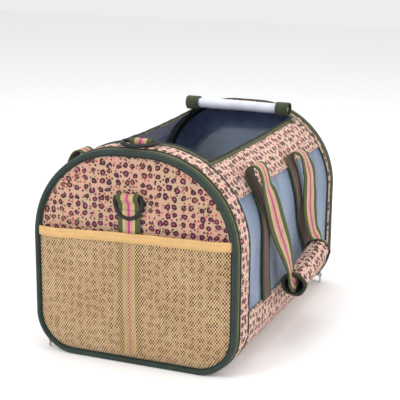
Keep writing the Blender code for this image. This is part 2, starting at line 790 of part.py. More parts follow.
clear_scene()
PARTS = new_collection("pet_carrier")
CUTTERS = new_collection("cutters")
build_floor()
for label, side in (("right", 1), ("left", -1)):
    build_side(side, label)
    build_handle(side, label)
build_gusset("front", FRONT_Y, 1, FRONT_GUSSET)
build_gusset("rear", REAR_Y, -1, REAR_GUSSET)
build_front_door()
build_rear_door()
build_rings()
build_opening()
build_sliders()
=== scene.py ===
"""Looks of the soft pet carrier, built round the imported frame."""

import json
import math

import bpy
import numpy as np
from mathutils import Matrix, Vector


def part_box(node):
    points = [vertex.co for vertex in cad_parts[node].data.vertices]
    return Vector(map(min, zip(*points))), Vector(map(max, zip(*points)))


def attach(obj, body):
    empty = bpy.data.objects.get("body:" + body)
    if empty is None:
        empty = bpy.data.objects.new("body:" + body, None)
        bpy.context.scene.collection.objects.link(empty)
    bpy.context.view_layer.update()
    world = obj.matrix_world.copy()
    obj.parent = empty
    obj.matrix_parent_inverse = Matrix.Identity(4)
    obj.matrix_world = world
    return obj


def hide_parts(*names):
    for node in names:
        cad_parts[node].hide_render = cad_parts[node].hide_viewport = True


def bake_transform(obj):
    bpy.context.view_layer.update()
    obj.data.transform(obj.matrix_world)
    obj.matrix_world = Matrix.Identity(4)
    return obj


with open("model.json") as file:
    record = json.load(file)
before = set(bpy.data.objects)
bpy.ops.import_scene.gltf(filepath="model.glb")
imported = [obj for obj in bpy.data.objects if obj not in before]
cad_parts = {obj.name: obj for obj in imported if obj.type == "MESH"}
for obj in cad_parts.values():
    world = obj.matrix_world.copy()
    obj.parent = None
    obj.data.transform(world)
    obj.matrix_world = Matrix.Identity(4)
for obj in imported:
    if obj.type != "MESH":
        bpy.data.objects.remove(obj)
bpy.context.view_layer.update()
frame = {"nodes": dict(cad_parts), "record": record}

TAU = 2 * math.pi

# The body's section, from the frame's boxes and the two radii of the design
GUSSET_LOW, GUSSET_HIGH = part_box("front_gusset")
WIDTH = GUSSET_HIGH.x - GUSSET_LOW.x
HEIGHT = GUSSET_HIGH.z - GUSSET_LOW.z
TOP_RADIUS = 0.122
BOTTOM_RADIUS = 0.054
FLAT_BOTTOM = WIDTH / 2 - BOTTOM_RADIUS
CORNER_GIRTH = BOTTOM_RADIUS * math.pi / 2
SIDE_START = FLAT_BOTTOM + CORNER_GIRTH
ARCH_START = SIDE_START + HEIGHT - TOP_RADIUS - BOTTOM_RADIUS
ARCH_END = ARCH_START + TOP_RADIUS * math.pi / 2
FLAT_TOP = WIDTH / 2 - TOP_RADIUS
ARCH_Z = HEIGHT - TOP_RADIUS
HALF_GIRTH = ARCH_END + FLAT_TOP

WALL_LOW_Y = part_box("floor_panel")[0].y
WALL_HIGH_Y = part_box("floor_panel")[1].y
PANEL_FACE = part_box("front_panel")[0].y
LOWER_BAND_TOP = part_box("lower_band_right")[1].z
UPPER_BAND_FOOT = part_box("upper_band_right")[0].z
OPENING_HALF = 0.080
OPENING_TAPE = 0.010
CLOTH = 0.0018
WEB_WIDTH = 0.030
WEB_THICK = 0.0019
PANEL_INSET = 0.0085
ROSETTE = 0.0112
FLOOR_CLEAR = 0.0001
SEAM_ALLOWANCE = 0.0008
WINDOW_TUCK = 0.003
ZIP_PITCH = 0.0019
TAPE_THICK = 0.0012
NET_THICK = 0.0007
NET_DEPTH = 0.0020

# Teeth and stitches: (along the row, across it, height)
ZIP_TOOTH = (0.0012, 0.0026, 0.0013)
SEAM_STITCH = (0.0024, 0.0005, 0.0003)
WINDOW_STITCH = (0.0026, 0.0005, 0.0004)
POCKET_STITCH = (0.0025, 0.0005, 0.0004)
STRAP_STITCH = (0.0026, 0.0006, 0.0004)
LEG_STITCH = (0.0026, 0.0006, 0.0005)
TAB_STITCH = (0.0023, 0.0006, 0.0004)
GRIP_STITCH = (0.0024, 0.0006, 0.0006)
LOOP_STITCH = (0.0021, 0.0005, 0.0004)
FORWARDS = (0, -1, 0)
BACKWARDS = (0, 1, 0)
UPWARDS = (0, 0, 1)

# Cloth colours, linear
SAND = (0.52, 0.345, 0.225)
SPOT_DARK = (0.040, 0.012, 0.020)
SPOT_BROWN = (0.13, 0.040, 0.030)
MAGENTA = (0.45, 0.028, 0.17)
CORAL = (0.46, 0.060, 0.070)
HEART_DULL = (0.30, 0.10, 0.08)
PIPING_GREEN = (0.008, 0.023, 0.016)
OLIVE = (0.082, 0.092, 0.026)
OLIVE_DARK = (0.045, 0.055, 0.022)
CREAM = (0.66, 0.50, 0.24)
PINK_TAN = (0.66, 0.36, 0.27)
WEB_PINK = (0.62, 0.035, 0.26)
TAN = (0.66, 0.40, 0.16)
MESH_BLUE = (0.155, 0.215, 0.330)
LINING = (0.120, 0.165, 0.310)
PALE = (0.66, 0.68, 0.78)


# ---------------------------------------------------------------- section and wall


def section(girth, offset=0.0):
    """Points and outward normals (x, z) of the body's section at girths from the bottom centre."""
    girth = np.asarray(girth, float)
    run = np.abs(girth)
    side = np.where(girth < 0, -1.0, 1.0)
    corner = np.clip((run - FLAT_BOTTOM) / BOTTOM_RADIUS, 0, math.pi / 2) - math.pi / 2
    arch = np.clip((run - ARCH_START) / TOP_RADIUS, 0, math.pi / 2)
    angle = corner + arch
    x = np.minimum(run, FLAT_BOTTOM) + BOTTOM_RADIUS * np.cos(corner)
    x = x - TOP_RADIUS * (1 - np.cos(arch))
    x = x - np.clip(run - ARCH_END, 0, None)
    z = BOTTOM_RADIUS * (1 + np.sin(corner)) + np.clip(run - SIDE_START, 0, ARCH_START - SIDE_START)
    z = z + TOP_RADIUS * np.sin(arch)
    nx, nz = side * np.cos(angle), np.sin(angle)
    return side * x + offset * nx, z + offset * nz, nx, nz


def wall_girth(height):
    """Girth at which the wall reaches a height."""
    if height <= ARCH_Z:
        return SIDE_START + height - BOTTOM_RADIUS
    return ARCH_START + TOP_RADIUS * math.asin((height - ARCH_Z) / TOP_RADIUS)


def arch_girth(reach):
    """Girth at which the arch is a given distance from the middle plane."""
    return ARCH_START + TOP_RADIUS * math.acos((reach - FLAT_TOP) / TOP_RADIUS)


WINDOW_FOOT = wall_girth(LOWER_BAND_TOP)
WINDOW_HEAD = wall_girth(UPPER_BAND_FOOT)
OPENING_GIRTH = arch_girth(OPENING_HALF)
BAND_HEAD = arch_girth(OPENING_HALF + OPENING_TAPE)


def waves(a, b, seed):
    """Smooth uneven waves from -1 to 1, the same each run."""
    dice = np.random.default_rng(seed)
    total = np.zeros(np.broadcast(a, b).shape)
    for _ in range(6):
        fa, fb, phase = dice.uniform(-1, 1), dice.uniform(-1, 1), dice.uniform(0, TAU)
        total = total + np.sin(TAU * (a * fa + b * fb) + phase)
    return total / 3.2


def slack(girth, y):
    """How far the wall stands in or out of the section, between the two wire hoops."""
    run = np.abs(girth)
    t = np.clip((y - WALL_LOW_Y) / (WALL_HIGH_Y - WALL_LOW_Y), 0, 1)
    span = np.sin(math.pi * t) ** 0.8
    up = np.clip((run - WINDOW_HEAD) / (OPENING_GIRTH - WINDOW_HEAD), 0, 1)
    q = np.clip((run - WINDOW_FOOT) / (WINDOW_HEAD - WINDOW_FOOT), 0, 1)
    low = np.clip((run - FLAT_BOTTOM) / (WINDOW_FOOT - FLAT_BOTTOM), 0, 1)
    hollow = -0.0035 * np.sin(math.pi * q) * span
    sag = -0.0040 * up * span - 0.0006 * q * span
    bulge = 0.0012 * np.sin(math.pi * low) * span
    side = np.where(girth < 0, 1.7, 0.0)
    folds = 0.0011 * waves(y * 22 + side, run * 5, 11) * np.sin(math.pi * q) * span
    ripple = 0.0005 * waves(y * 40 + side, run * 14, 5) * (up + low * (low < 1)) * span
    return hollow + sag + bulge + folds + ripple


def wall_points(girth, y, offset=0.0):
    """Points on the slack wall, moved outwards by offset."""
    girth, y = np.broadcast_arrays(np.asarray(girth, float), np.asarray(y, float))
    x, z, _, _ = section(girth, offset + slack(girth, y))
    return stack(x, y, np.maximum(z, FLOOR_CLEAR))

# ---------------------------------------------------------------- mesh building


def grid(rows, columns):
    """Two grids: the values of rows down the first, and of columns across the second."""
    return np.meshgrid(rows, columns, indexing="ij")


def stack(*axes):
    return np.stack(axes, axis=-1)


def new_object(name, verts, faces, materials, face_slots=None, uvs=None, sharp=50):
    """A mesh object from arrays. uvs has one (u, v) in metres for each vertex."""
    mesh = bpy.data.meshes.new(name)
    mesh.from_pydata([tuple(v) for v in verts], [], [tuple(f) for f in faces])
    for material in materials:
        mesh.materials.append(material)
    if face_slots is not None:
        mesh.polygons.foreach_set("material_index", np.asarray(face_slots, np.int32))
    if uvs is not None:
        layer = mesh.uv_layers.new(name="cloth")
        index = np.zeros(len(mesh.loops), np.int32)
        mesh.loops.foreach_get("vertex_index", index)
        layer.data.foreach_set("uv", np.asarray(uvs, np.float32)[index].ravel())
    mesh.shade_smooth()
    mesh.set_sharp_from_angle(angle=math.radians(sharp))
    mesh.update()
    made = bpy.data.objects.new(name, mesh)
    bpy.context.scene.collection.objects.link(made)
    return made


def grid_normals(points, closed):
    """Unit normals of a grid of points, from its two directions."""
    if closed:
        along = np.roll(points, -1, 0) - np.roll(points, 1, 0)
    else:
        along = np.gradient(points, axis=0)
    across = np.gradient(points, axis=1)
    normal = np.cross(along, across)
    return normal / np.maximum(np.linalg.norm(normal, axis=2, keepdims=True), 1e-12)


def skin(name, points, thickness, materials, uv, closed=False, flip=False, sharp=50):
    """A thick sheet: its outer face is a grid of points and its inner face lies thickness below.

    materials are those of the outer face, the inner face and the rim. flip turns the outer face over.
    A thickness of None leaves one layer.
    """
    rows, columns = points.shape[:2]
    shift = rows * columns
    verts = points.reshape(-1, 3)
    flat = np.asarray(uv, float).reshape(-1, 2)
    if thickness is not None:
        normal = grid_normals(points, closed) * (-1.0 if flip else 1.0)
        verts = np.concatenate([verts, (points - normal * thickness).reshape(-1, 3)])
        flat = np.concatenate([flat, flat])
    faces, slots = [], []

    def quad(a, b, c, d, slot):
        faces.append((d, c, b, a) if flip else (a, b, c, d))
        slots.append(slot)

    last = rows if closed else rows - 1
    for i in range(last):
        j = (i + 1) % rows
        for k in range(columns - 1):
            a, b, c, d = i * columns + k, j * columns + k, j * columns + k + 1, i * columns + k + 1
            quad(a, b, c, d, 0)
            if thickness is not None:
                quad(d + shift, c + shift, b + shift, a + shift, 1)
        if thickness is None:
            continue
        a, b = i * columns, j * columns
        quad(a, a + shift, b + shift, b, 2)
        a, b = i * columns + columns - 1, j * columns + columns - 1
        quad(b, b + shift, a + shift, a, 2)
    if not closed and thickness is not None:
        for k in range(columns - 1):
            quad(k + 1, k + 1 + shift, k + shift, k, 2)
            a = (rows - 1) * columns + k
            quad(a, a + shift, a + 1 + shift, a + 1, 2)
    return new_object(name, verts, faces, materials, slots, flat, sharp)


def tube(name, centres, radius, material, sides=12, closed=False, squash=None, wrinkle=0.0):
    """A round cord through centre points, with domed ends where it is open."""
    centres = np.asarray(centres, float)
    count = len(centres)
    if closed:
        tangent = np.roll(centres, -1, 0) - np.roll(centres, 1, 0)
    else:
        tangent = np.gradient(centres, axis=0)
    tangent /= np.linalg.norm(tangent, axis=1, keepdims=True)
    up = Vector((0, 1, 0)) if abs(tangent[0][1]) < 0.9 else Vector((0, 0, 1))
    side = Vector(tangent[0]).cross(up).normalized()
    verts, uvs = [], []
    radii = np.broadcast_to(np.asarray(radius, float), (count,))
    run = 0.0
    for i in range(count):
        if i:
            run += float(np.linalg.norm(centres[i] - centres[i - 1]))
        here = Vector(tangent[i])
        side = (side - here * side.dot(here)).normalized()
        other = here.cross(side)
        flat = 1.0 if squash is None else squash
        for k in range(sides):
            turn = TAU * k / sides
            bump = 1.0 + wrinkle * math.sin(run * 900 + 3 * math.sin(turn + run * 60))
            arm = side * math.cos(turn) * flat + other * math.sin(turn)
            verts.append(Vector(centres[i]) + arm * float(radii[i]) * bump)
            uvs.append((run, k / sides * TAU * float(radii[i])))
    faces = []
    for i in range(count if closed else count - 1):
        j = (i + 1) % count
        for k in range(sides):
            n = (k + 1) % sides
            faces.append((i * sides + k, i * sides + n, j * sides + n, j * sides + k))
    if not closed:
        for end, step in ((0, -1), (count - 1, 1)):
            tip = Vector(centres[end]) + Vector(tangent[end]) * float(radii[end]) * 0.5 * step
            verts.append(tip)
            uvs.append((run if step > 0 else 0.0, 0.0))
            for k in range(sides):
                a, b = end * sides + k, end * sides + (k + 1) % sides
                faces.append((len(verts) - 1, b, a) if step < 0 else (len(verts) - 1, a, b))
    return new_object(name, verts, faces, [material], None, uvs, 60)


def many_blocks(name, centres, along, out, size, material, taper=0.8):
    """One mesh of small blocks with narrowed tops, such as zip teeth or stitches.

    size is (along, across, height). Each block stands on its centre point.
    """
    verts, faces = [], []
    half_l, half_w, height = size[0] / 2, size[1] / 2, size[2]
    for centre, run, normal in zip(centres, along, out):
        c = Vector(centre)
        x = Vector(run).normalized()
        z = Vector(normal).normalized()
        y = z.cross(x)
        base = len(verts)
        for level, share in ((-0.3, 1.0), (0.55, 1.0), (1.0, taper)):
            for sx, sy in ((-1, -1), (1, -1), (1, 1), (-1, 1)):
                spot = c + x * sx * half_l * share + y * sy * half_w * share + z * height * level
                verts.append(spot)
        for ring in range(2):
            for k in range(4):
                a, b = base + ring * 4 + k, base + ring * 4 + (k + 1) % 4
                faces.append((a, b, b + 4, a + 4))
        faces.append((base + 3, base + 2, base + 1, base))
        faces.append((base + 8, base + 9, base + 10, base + 11))
    return new_object(name, verts, faces, [material], None, None, 30)


def resample(points, spacing):
    """Points at an even spacing along a line of points, and the directions there."""
    points = np.asarray(points, float)
    steps = np.linalg.norm(np.diff(points, axis=0), axis=1)
    run = np.concatenate([[0], np.cumsum(steps)])
    count = max(2, round(run[-1] / spacing))
    at = (np.arange(count) + 0.5) * run[-1] / count

    def spots(where):
        return stack(*(np.interp(where, run, points[:, i]) for i in range(3)))

    return spots(at), spots(at + 1e-4) - spots(at - 1e-4)


def smooth_path(points, count):
    """A Catmull-Rom curve through points, with count points."""
    p = np.asarray(points, float)
    p = np.vstack([2 * p[0] - p[1], p, 2 * p[-1] - p[-2]])
    spans = len(p) - 3
    out = []
    for i in range(count):
        s = i / (count - 1) * spans
        k = min(int(s), spans - 1)
        t = s - k
        a, b, c, d = p[k : k + 4]
        out.append(
            0.5 * (2 * b + (c - a) * t + (2 * a - 5 * b + 4 * c - d) * t**2 + (3 * b - a - 3 * c + d) * t**3)
        )
    return np.array(out)


def put(thing, body, slot, *nodes):
    """Rides a piece on a body and hides the CAD nodes that it stands for. slot is not used."""
    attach(thing, body)
    if nodes:
        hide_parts(*nodes)
    return thing


def row_along(name, body, slot, line, spacing, size, material, out=None):
    """Stitches or teeth at an even spacing along a line.

    out is the direction they stand in, or a function of the spot. Without it they stand off the section.
    """
    spots, ahead = resample(line, spacing)
    if out is None:
        ways = section_out(spots)
    else:
        ways = [out(spot) if callable(out) else out for spot in spots]
    return put(many_blocks(name, spots, ahead, ways, size, material), body, slot)


# ---------------------------------------------------------------- materials


class Value:
    """An output of a node. Arithmetic on it adds math nodes."""

    def __init__(self, shader, socket):
        self.shader, self.socket = shader, socket

    def __add__(self, other):
        return self.shader.math("ADD", self, other)

    def __sub__(self, other):
        return self.shader.math("SUBTRACT", self, other)

    def __rsub__(self, other):
        return self.shader.math("SUBTRACT", other, self)

    def __mul__(self, other):
        return self.shader.math("MULTIPLY", self, other)


class Shader:
    """A material being built from nodes."""

    def __init__(self, name, roughness=0.8, sheen=0.0, metallic=0.0, specular=0.4):
        self.material = bpy.data.materials.new(name)
        self.material.use_nodes = True
        self.tree = self.material.node_tree
        self.tree.nodes.clear()
        gloss = {"Roughness": roughness, "Metallic": metallic, "Specular IOR Level": specular}
        self.bsdf = self.add("BsdfPrincipled", {**gloss, "Sheen Weight": sheen, "Sheen Roughness": 0.5})
        self.add("OutputMaterial", {0: Value(self, self.bsdf.outputs[0])})
        self.uv = self.made("UVMap", 0, uv_map="cloth")
        self.place = self.made("TexCoord", "Object")

    def add(self, kind, inputs=None, **settings):
        """A node with its settings and what its inputs are given."""
        node = self.tree.nodes.new(f"ShaderNode{kind}")
        for key, value in settings.items():
            setattr(node, key, value)
        for key, value in (inputs or {}).items():
            self.put(node.inputs[key], value)
        return node

    def made(self, kind, output, inputs=None, **settings):
        return Value(self, self.add(kind, inputs, **settings).outputs[output])

    def put(self, socket, value):
        if isinstance(value, Value):
            self.tree.links.new(value.socket, socket)
        elif isinstance(value, tuple) and len(value) == 3 and socket.type == "RGBA":
            socket.default_value = (*value, 1.0)
        else:
            socket.default_value = value

    def math(self, kind, a, b=0.0):
        return self.made("Math", 0, {0: a, 1: b}, operation=kind)

    def mapped(self, vector, scale, shift=(0, 0, 0)):
        scale = scale if isinstance(scale, tuple) else (scale,) * 3
        return self.made("Mapping", 0, {"Vector": vector, "Scale": scale, "Location": shift})

    def shift(self, a, b, amount):
        """a moved by amount times b, a colour round 0.5."""
        away = self.made("VectorMath", 0, {0: b, 1: (0.5, 0.5, 0.5)}, operation="SUBTRACT")
        scaled = self.made("VectorMath", 0, {0: away, "Scale": amount}, operation="SCALE")
        return self.made("VectorMath", 0, {0: a, 1: scaled})

    def noise(self, vector, scale, detail=2.0, output=0):
        return self.made("TexNoise", output, {"Vector": vector, "Scale": scale, "Detail": detail})

    def patches(self, vector, scale, detail, *steps):
        """Soft-edged patches of noise. steps are those of step()."""
        return self.step(self.noise(vector, scale, detail), *steps)

    def cells(self, vector, scale, randomness=0.85):
        inputs = {"Vector": vector, "Scale": scale, "Randomness": randomness}
        node = self.add("TexVoronoi", inputs, voronoi_dimensions="2D")
        return Value(self, node.outputs["Distance"]), Value(self, node.outputs["Color"])

    def step(self, value, low, high, start=0.0, end=1.0):
        inputs = {"Value": value, "From Min": low, "From Max": high, "To Min": start, "To Max": end}
        return self.made("MapRange", 0, inputs, interpolation_type="SMOOTHSTEP")

    def split(self, vector):
        return [Value(self, output) for output in self.add("SeparateXYZ", {0: vector}).outputs]

    def mix(self, factor, a, b):
        return self.made("Mix", 2, {0: factor, 6: a, 7: b}, data_type="RGBA")

    def ramp(self, value, stops):
        node = self.add("ValToRGB", {0: value})
        node.color_ramp.interpolation = "CONSTANT"
        marks = node.color_ramp.elements
        while len(marks) < len(stops):
            marks.new(0.5)
        for mark, (at, colour) in zip(marks, stops):
            mark.position = at
            mark.color = (*colour, 1.0)
        return Value(self, node.outputs[0])

    def rows(self, value, period):
        """Ridges from 0 to 1 along a coordinate in metres."""
        return self.step(self.math("SINE", value * (TAU / period)), -1.0, 1.0)

    def weave(self, period):
        """Height of a plain weave of threads."""
        across, along, _ = self.split(self.uv)
        return self.math("MAXIMUM", self.rows(across, period), self.rows(along, period * 0.93))

    def finish(self, colour, height=None, depth=0.0002, alpha=1.0):
        self.put(self.bsdf.inputs["Base Color"], colour)
        if height is not None:
            bump = self.made("Bump", 0, {"Distance": depth, "Strength": 0.8, "Height": height})
            self.put(self.bsdf.inputs["Normal"], bump)
        self.put(self.bsdf.inputs["Alpha"], alpha)
        return self.material


def leopard_cloth(name, ground, blush, green, heart_colour):
    """Printed cotton: broken dark rosettes, with coloured hearts and small spots between."""
    s = Shader(name, 0.85, 0.1)
    at = s.mapped(s.uv, 1 / ROSETTE)
    loose = s.shift(at, s.noise(at, 0.8, output=1), 0.5)
    distance, kind = s.cells(loose, 1.0, 0.45)
    shade = s.split(kind)
    reach = distance + (s.noise(at, 2.2, 1.0) - 0.5) * 0.30 + shade[2] * 0.07
    heart = s.step(reach, 0.17, 0.20, 1.0, 0.0)
    ring = s.step(reach, 0.14, 0.17) * s.step(reach, 0.35, 0.38, 1.0, 0.0)
    ring = ring * s.patches(s.mapped(at, 1.0, (7, 3, 0)), 2.0, 1.0, 0.33, 0.37)
    spot, spot_kind = s.cells(s.mapped(loose, 1.9, (3.3, 1.7, 0)), 1.0, 0.8)
    small = s.step(spot, 0.22, 0.27, 1.0, 0.0) * s.step(reach, 0.44, 0.48)
    # The ground is blotched with blush and green under the spots
    tone = s.mix(s.patches(s.uv, 26, 2.0, 0.35, 0.62), ground, blush)
    tone = s.mix(s.patches(s.mapped(s.uv, 1.0, (1, 2, 0)), 30, 1.0, 0.52, 0.72, 0.0, 0.4), tone, green)
    zone = s.patches(s.mapped(s.uv, 1.0, (5, 4, 0)), 24, 1.0, 0.40, 0.56)
    vivid = s.mix(s.step(shade[0], 0.30, 0.34), heart_colour, s.mix(0.35, heart_colour, SPOT_DARK))
    plain = s.ramp(shade[0], [(0.0, HEART_DULL), (0.4, SPOT_BROWN), (0.7, CORAL)])
    tone = s.mix(heart * 0.94, tone, s.mix(zone, plain, vivid))
    spots = s.ramp(s.split(spot_kind)[0], [(0.0, CORAL), (0.35, SPOT_BROWN), (0.7, SPOT_DARK)])
    tone = s.mix(small, tone, spots)
    tone = s.mix(ring, tone, s.mix(s.step(shade[1], 0.6, 1.0, 0.0, 0.7), SPOT_DARK, SPOT_BROWN))
    tone = s.mix(s.patches(s.uv, 900, 2.0, 0.3, 0.7, 0.0, 0.12), tone, (0.0, 0.0, 0.0))
    return s.finish(tone, s.weave(0.0009), 0.00012)


def webbing_cloth(name, stops):
    """Ribbed webbing with lengthwise stripes; v runs across it from its middle."""
    s = Shader(name, 0.8, 0.05)
    along, across, _ = s.split(s.uv)
    share = across * (1 / WEB_WIDTH) + 0.5
    tone = s.ramp(share + (s.noise(s.uv, 700, 1.0) - 0.5) * 0.03, stops)
    warp = s.rows(across, 0.0012)
    weft = s.rows(along + warp * 0.0005, 0.0011)
    rib = s.math("MAXIMUM", warp * 0.9, weft * 0.8)
    # Near black where the ribs are low: painted shade in the grooves between them
    tone = s.mix(s.step(rib, 0.35, 0.9, 0.5, 0.0), tone, (0.02, 0.015, 0.01))
    tone = s.mix(s.patches(s.uv, 60, 2.0, 0.4, 0.75, 0.0, 0.2), tone, (0.05, 0.04, 0.03))
    return s.finish(tone, rib, 0.0003)


def net_cloth(name, colour, light, spacing, hole, open_share, hole_shade, folds):
    """Knitted net: small staggered holes that show a little of what is behind. The holes are painted dark,
    painted shade behind the net, and a paler tone in noise patches is partly mottle and partly painted sheen
    on its folds.
    """
    s = Shader(name, 0.55, 0.25)
    along, across, _ = s.split(s.uv)
    # Two crossing rows of waves leave staggered holes between slanting threads
    slant = across * NET_SLANT
    one, other = (s.math("SINE", way * (TAU / spacing)) for way in (along + slant, along - slant))
    holes = s.step(one + other, hole, hole + 0.4)
    # Paler patches, stretched along folds on the window: partly mottle, partly painted sheen
    tone = s.mix(s.patches(s.mapped(s.uv, folds), 1.0, 3.0, 0.36, 0.66), colour, light)
    # Painted shade: the holes are darkened towards the shade behind the net
    tone = s.mix(holes, tone, hole_shade)
    return s.finish(tone, 1.0 - holes, 0.0003, 1.0 - holes * open_share)


def plain_cloth(name, colour, period=0.0008, roughness=0.85, sheen=0.3, mottle=0.25):
    """Dyed woven cloth with a little colour variation, and painted shade between its threads."""
    s = Shader(name, roughness, sheen)
    dark = tuple(c * (1 - mottle) for c in colour)
    light = tuple(min(1.0, c * (1 + mottle)) for c in colour)
    tone = s.mix(s.patches(s.uv, 45, 4.0, 0.3, 0.7), dark, light)
    weave = s.weave(period)
    # Darker where the weave is low: painted shade in the hollows between the threads
    tone = s.mix(s.step(weave, 0.2, 0.9, 0.35, 0.0), tone, tuple(c * 0.4 for c in colour))
    return s.finish(tone, weave, 0.00015)


def hard(name, colour, roughness, metallic=0.0, grain=0.08):
    """Moulded plastic or metal with fine uneven gloss."""
    s = Shader(name, roughness, 0.0, metallic, 0.5)
    cloudy = s.noise(s.place, 160, 4.0)
    s.put(s.bsdf.inputs["Roughness"], s.step(cloudy, 0.3, 0.7, roughness - grain, roughness + grain))
    tone = s.mix(s.step(cloudy, 0.3, 0.8, 0.0, 0.25), colour, tuple(c * 0.7 for c in colour))
    return s.finish(tone, s.noise(s.place, 1200, 2.0), 0.00003)


NET_SLANT = 0.68
WEB_STOPS = [
    *((0.0, OLIVE), (0.22, CREAM), (0.34, PINK_TAN), (0.45, WEB_PINK)),
    *((0.55, PINK_TAN), (0.66, CREAM), (0.78, OLIVE)),
]
# A darker copy of the stripes, painted shade: used on the sewn legs and on the undersides of the free webbing
SHADED_BROWN, SHADED_RED, SHADED_PINK = (0.17, 0.11, 0.06), (0.15, 0.05, 0.04), (0.14, 0.02, 0.05)
SHADED_STOPS = [
    *((0.0, OLIVE_DARK), (0.25, SHADED_BROWN), (0.36, SHADED_RED), (0.45, SHADED_PINK)),
    *((0.55, SHADED_RED), (0.64, SHADED_BROWN), (0.75, OLIVE_DARK)),
]
LEOPARD = leopard_cloth("leopard print", SAND, (0.56, 0.32, 0.235), (0.40, 0.34, 0.19), MAGENTA)
LEOPARD_PINK = leopard_cloth(
    "leopard print, sides", (0.68, 0.48, 0.37), (0.69, 0.43, 0.35), (0.60, 0.48, 0.34), (0.36, 0.050, 0.075)
)
WEBBING = webbing_cloth("striped webbing", WEB_STOPS)
WEBBING_SHADED = webbing_cloth("striped webbing, painted shade", SHADED_STOPS)
PIPING = plain_cloth("green piping", PIPING_GREEN, 0.0009, 0.6, 0.15, 0.35)
TAPE = plain_cloth("olive tape", OLIVE, 0.0008, 0.85, 0.1)
TAPE_DARK = plain_cloth("dark olive tape", OLIVE_DARK, 0.0008, 0.85, 0.1)
# Painted light in the nets: the dark hole colours are painted shade behind them, and the paler second tones
# are partly mottle, partly painted sheen
WINDOW_NET = net_cloth(
    "window net", MESH_BLUE, (0.27, 0.35, 0.48), 0.0020, 0.3, 0.45, (0.05, 0.075, 0.13), (5.0, 34.0, 1.0)
)
POCKET_NET = net_cloth(
    "pocket net", (0.66, 0.43, 0.20), (0.74, 0.52, 0.27), 0.0036, -0.30, 0.70, (0.006, 0.004, 0.003),
    (18.0, 18.0, 1.0),
)
BINDING = plain_cloth("tan binding", TAN, 0.0009, 0.75, 0.1, 0.08)
LINING_CLOTH = plain_cloth("blue lining", LINING, 0.0009, 0.7, 0.4)
FLAP = plain_cloth("flap cloth", PALE, 0.0009, 0.6, 0.5, 0.08)
GRIP_INSIDE = plain_cloth("grip inside", (0.010, 0.010, 0.011), 0.0012, 0.9, 0.05)
MAT_CLOTH = plain_cloth("mat cloth", (0.045, 0.060, 0.115), 0.0012, 0.85, 0.4)
BOARD = hard("board cover", (0.03, 0.032, 0.035), 0.6)
PLASTIC = hard("black plastic", (0.002, 0.002, 0.002), 0.58)
METAL = hard("zip metal", (0.40, 0.37, 0.32), 0.32, 1.0)
WIRE = hard("spring wire", (0.42, 0.42, 0.43), 0.35, 1.0)
TEETH = hard("zip teeth", (0.016, 0.020, 0.016), 0.42)
THREAD = plain_cloth("sewing thread", (0.50, 0.42, 0.26), 0.0004, 0.7, 0.2)
THREAD_DARK = plain_cloth("dark sewing thread", (0.035, 0.045, 0.028), 0.0004, 0.7, 0.2)
TAPE_FACES = (TAPE, TAPE_DARK, TAPE)
COAT = (LEOPARD, LINING_CLOTH, LEOPARD)
COAT_PINK = (LEOPARD_PINK, LINING_CLOTH, LEOPARD_PINK)


# ---------------------------------------------------------------- body cloth

SEAM_RISE = 0.0008
RIM_CORD_R = 0.0035
BAND_REACH = 0.005
FOLD_OVER = 0.0022


def span_of(node):
    low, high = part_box(node)
    return low.y, high.y


def round_girths(count):
    return np.linspace(-HALF_GIRTH, HALF_GIRTH, count, endpoint=False)


def hoop(name, low, high, over, shape, lift, thickness, materials):
    """Cloth right round the section between two places along Y. lift(girth, share across) is its rise."""
    g, across = grid(round_girths(shape[0]), np.linspace(low - over, high + over, shape[1]))
    x, z, _, _ = section(g, lift(g, (across - low) / (high - low)))
    points = stack(x, across, np.maximum(z, FLOOR_CLEAR))
    return skin(name, points, thickness, materials, stack(g, across), True, True)


def build_gusset(end):
    """Leopard band with gathers at both seams, and the seam piping beside it."""
    seed = 21 if end == "front" else 23

    def gathers(g, t):
        turn = g / (2 * HALF_GIRTH) * TAU
        lumps = np.sin(turn * 31 + 1.3 * np.sin(turn * 5 + seed)) + 0.7 * np.sin(turn * 53 + seed)
        edge = np.exp(-t * 6) + np.exp(-(1 - t) * 6)
        full = 0.0011 * np.sin(math.pi * np.clip(t, 0, 1)) ** 0.7
        return full + 0.00022 * lumps * (0.35 + edge) - 0.0004

    low, high = span_of(f"{end}_gusset")
    made = hoop(f"{end}_gusset_cloth", low, high, 0.0006, (420, 15), gathers, CLOTH, COAT_PINK)
    put(made, "carrier", "leopard_cloth", f"{end}_gusset")
    low, high = span_of(f"{end}_seam_piping")
    radius = (high - low) / 2
    ring = ring_line(SEAM_RISE - radius, (low + high) / 2, 260)
    ring[:, 2] = np.maximum(ring[:, 2], radius)
    cord = tube(f"{end}_seam_cord", ring, radius * 0.98, PIPING, 10, True, wrinkle=0.01)
    put(cord, "carrier", "green_piping", f"{end}_seam_piping")
    name = f"{end}_seam_stitches"
    line = closed_line(0.0013, low - 0.0016 if end == "front" else high + 0.0016, 0.0004)

    def from_middle(spot):
        return spot[0], 0, spot[2] - HEIGHT / 2

    row_along(name, "carrier", "green_piping", line, 0.0036, SEAM_STITCH, THREAD_DARK, from_middle)


def ring_line(offset, y, count):
    x, z, _, _ = section(round_girths(count), offset)
    return stack(x, np.full(count, y), z)


def closed_line(offset, y, clear):
    """The section's line, kept clear of the floor."""
    ring = ring_line(offset, y, 360)
    line = np.vstack([ring, ring[:1]])
    line[:, 2] = np.maximum(line[:, 2], clear)
    return line


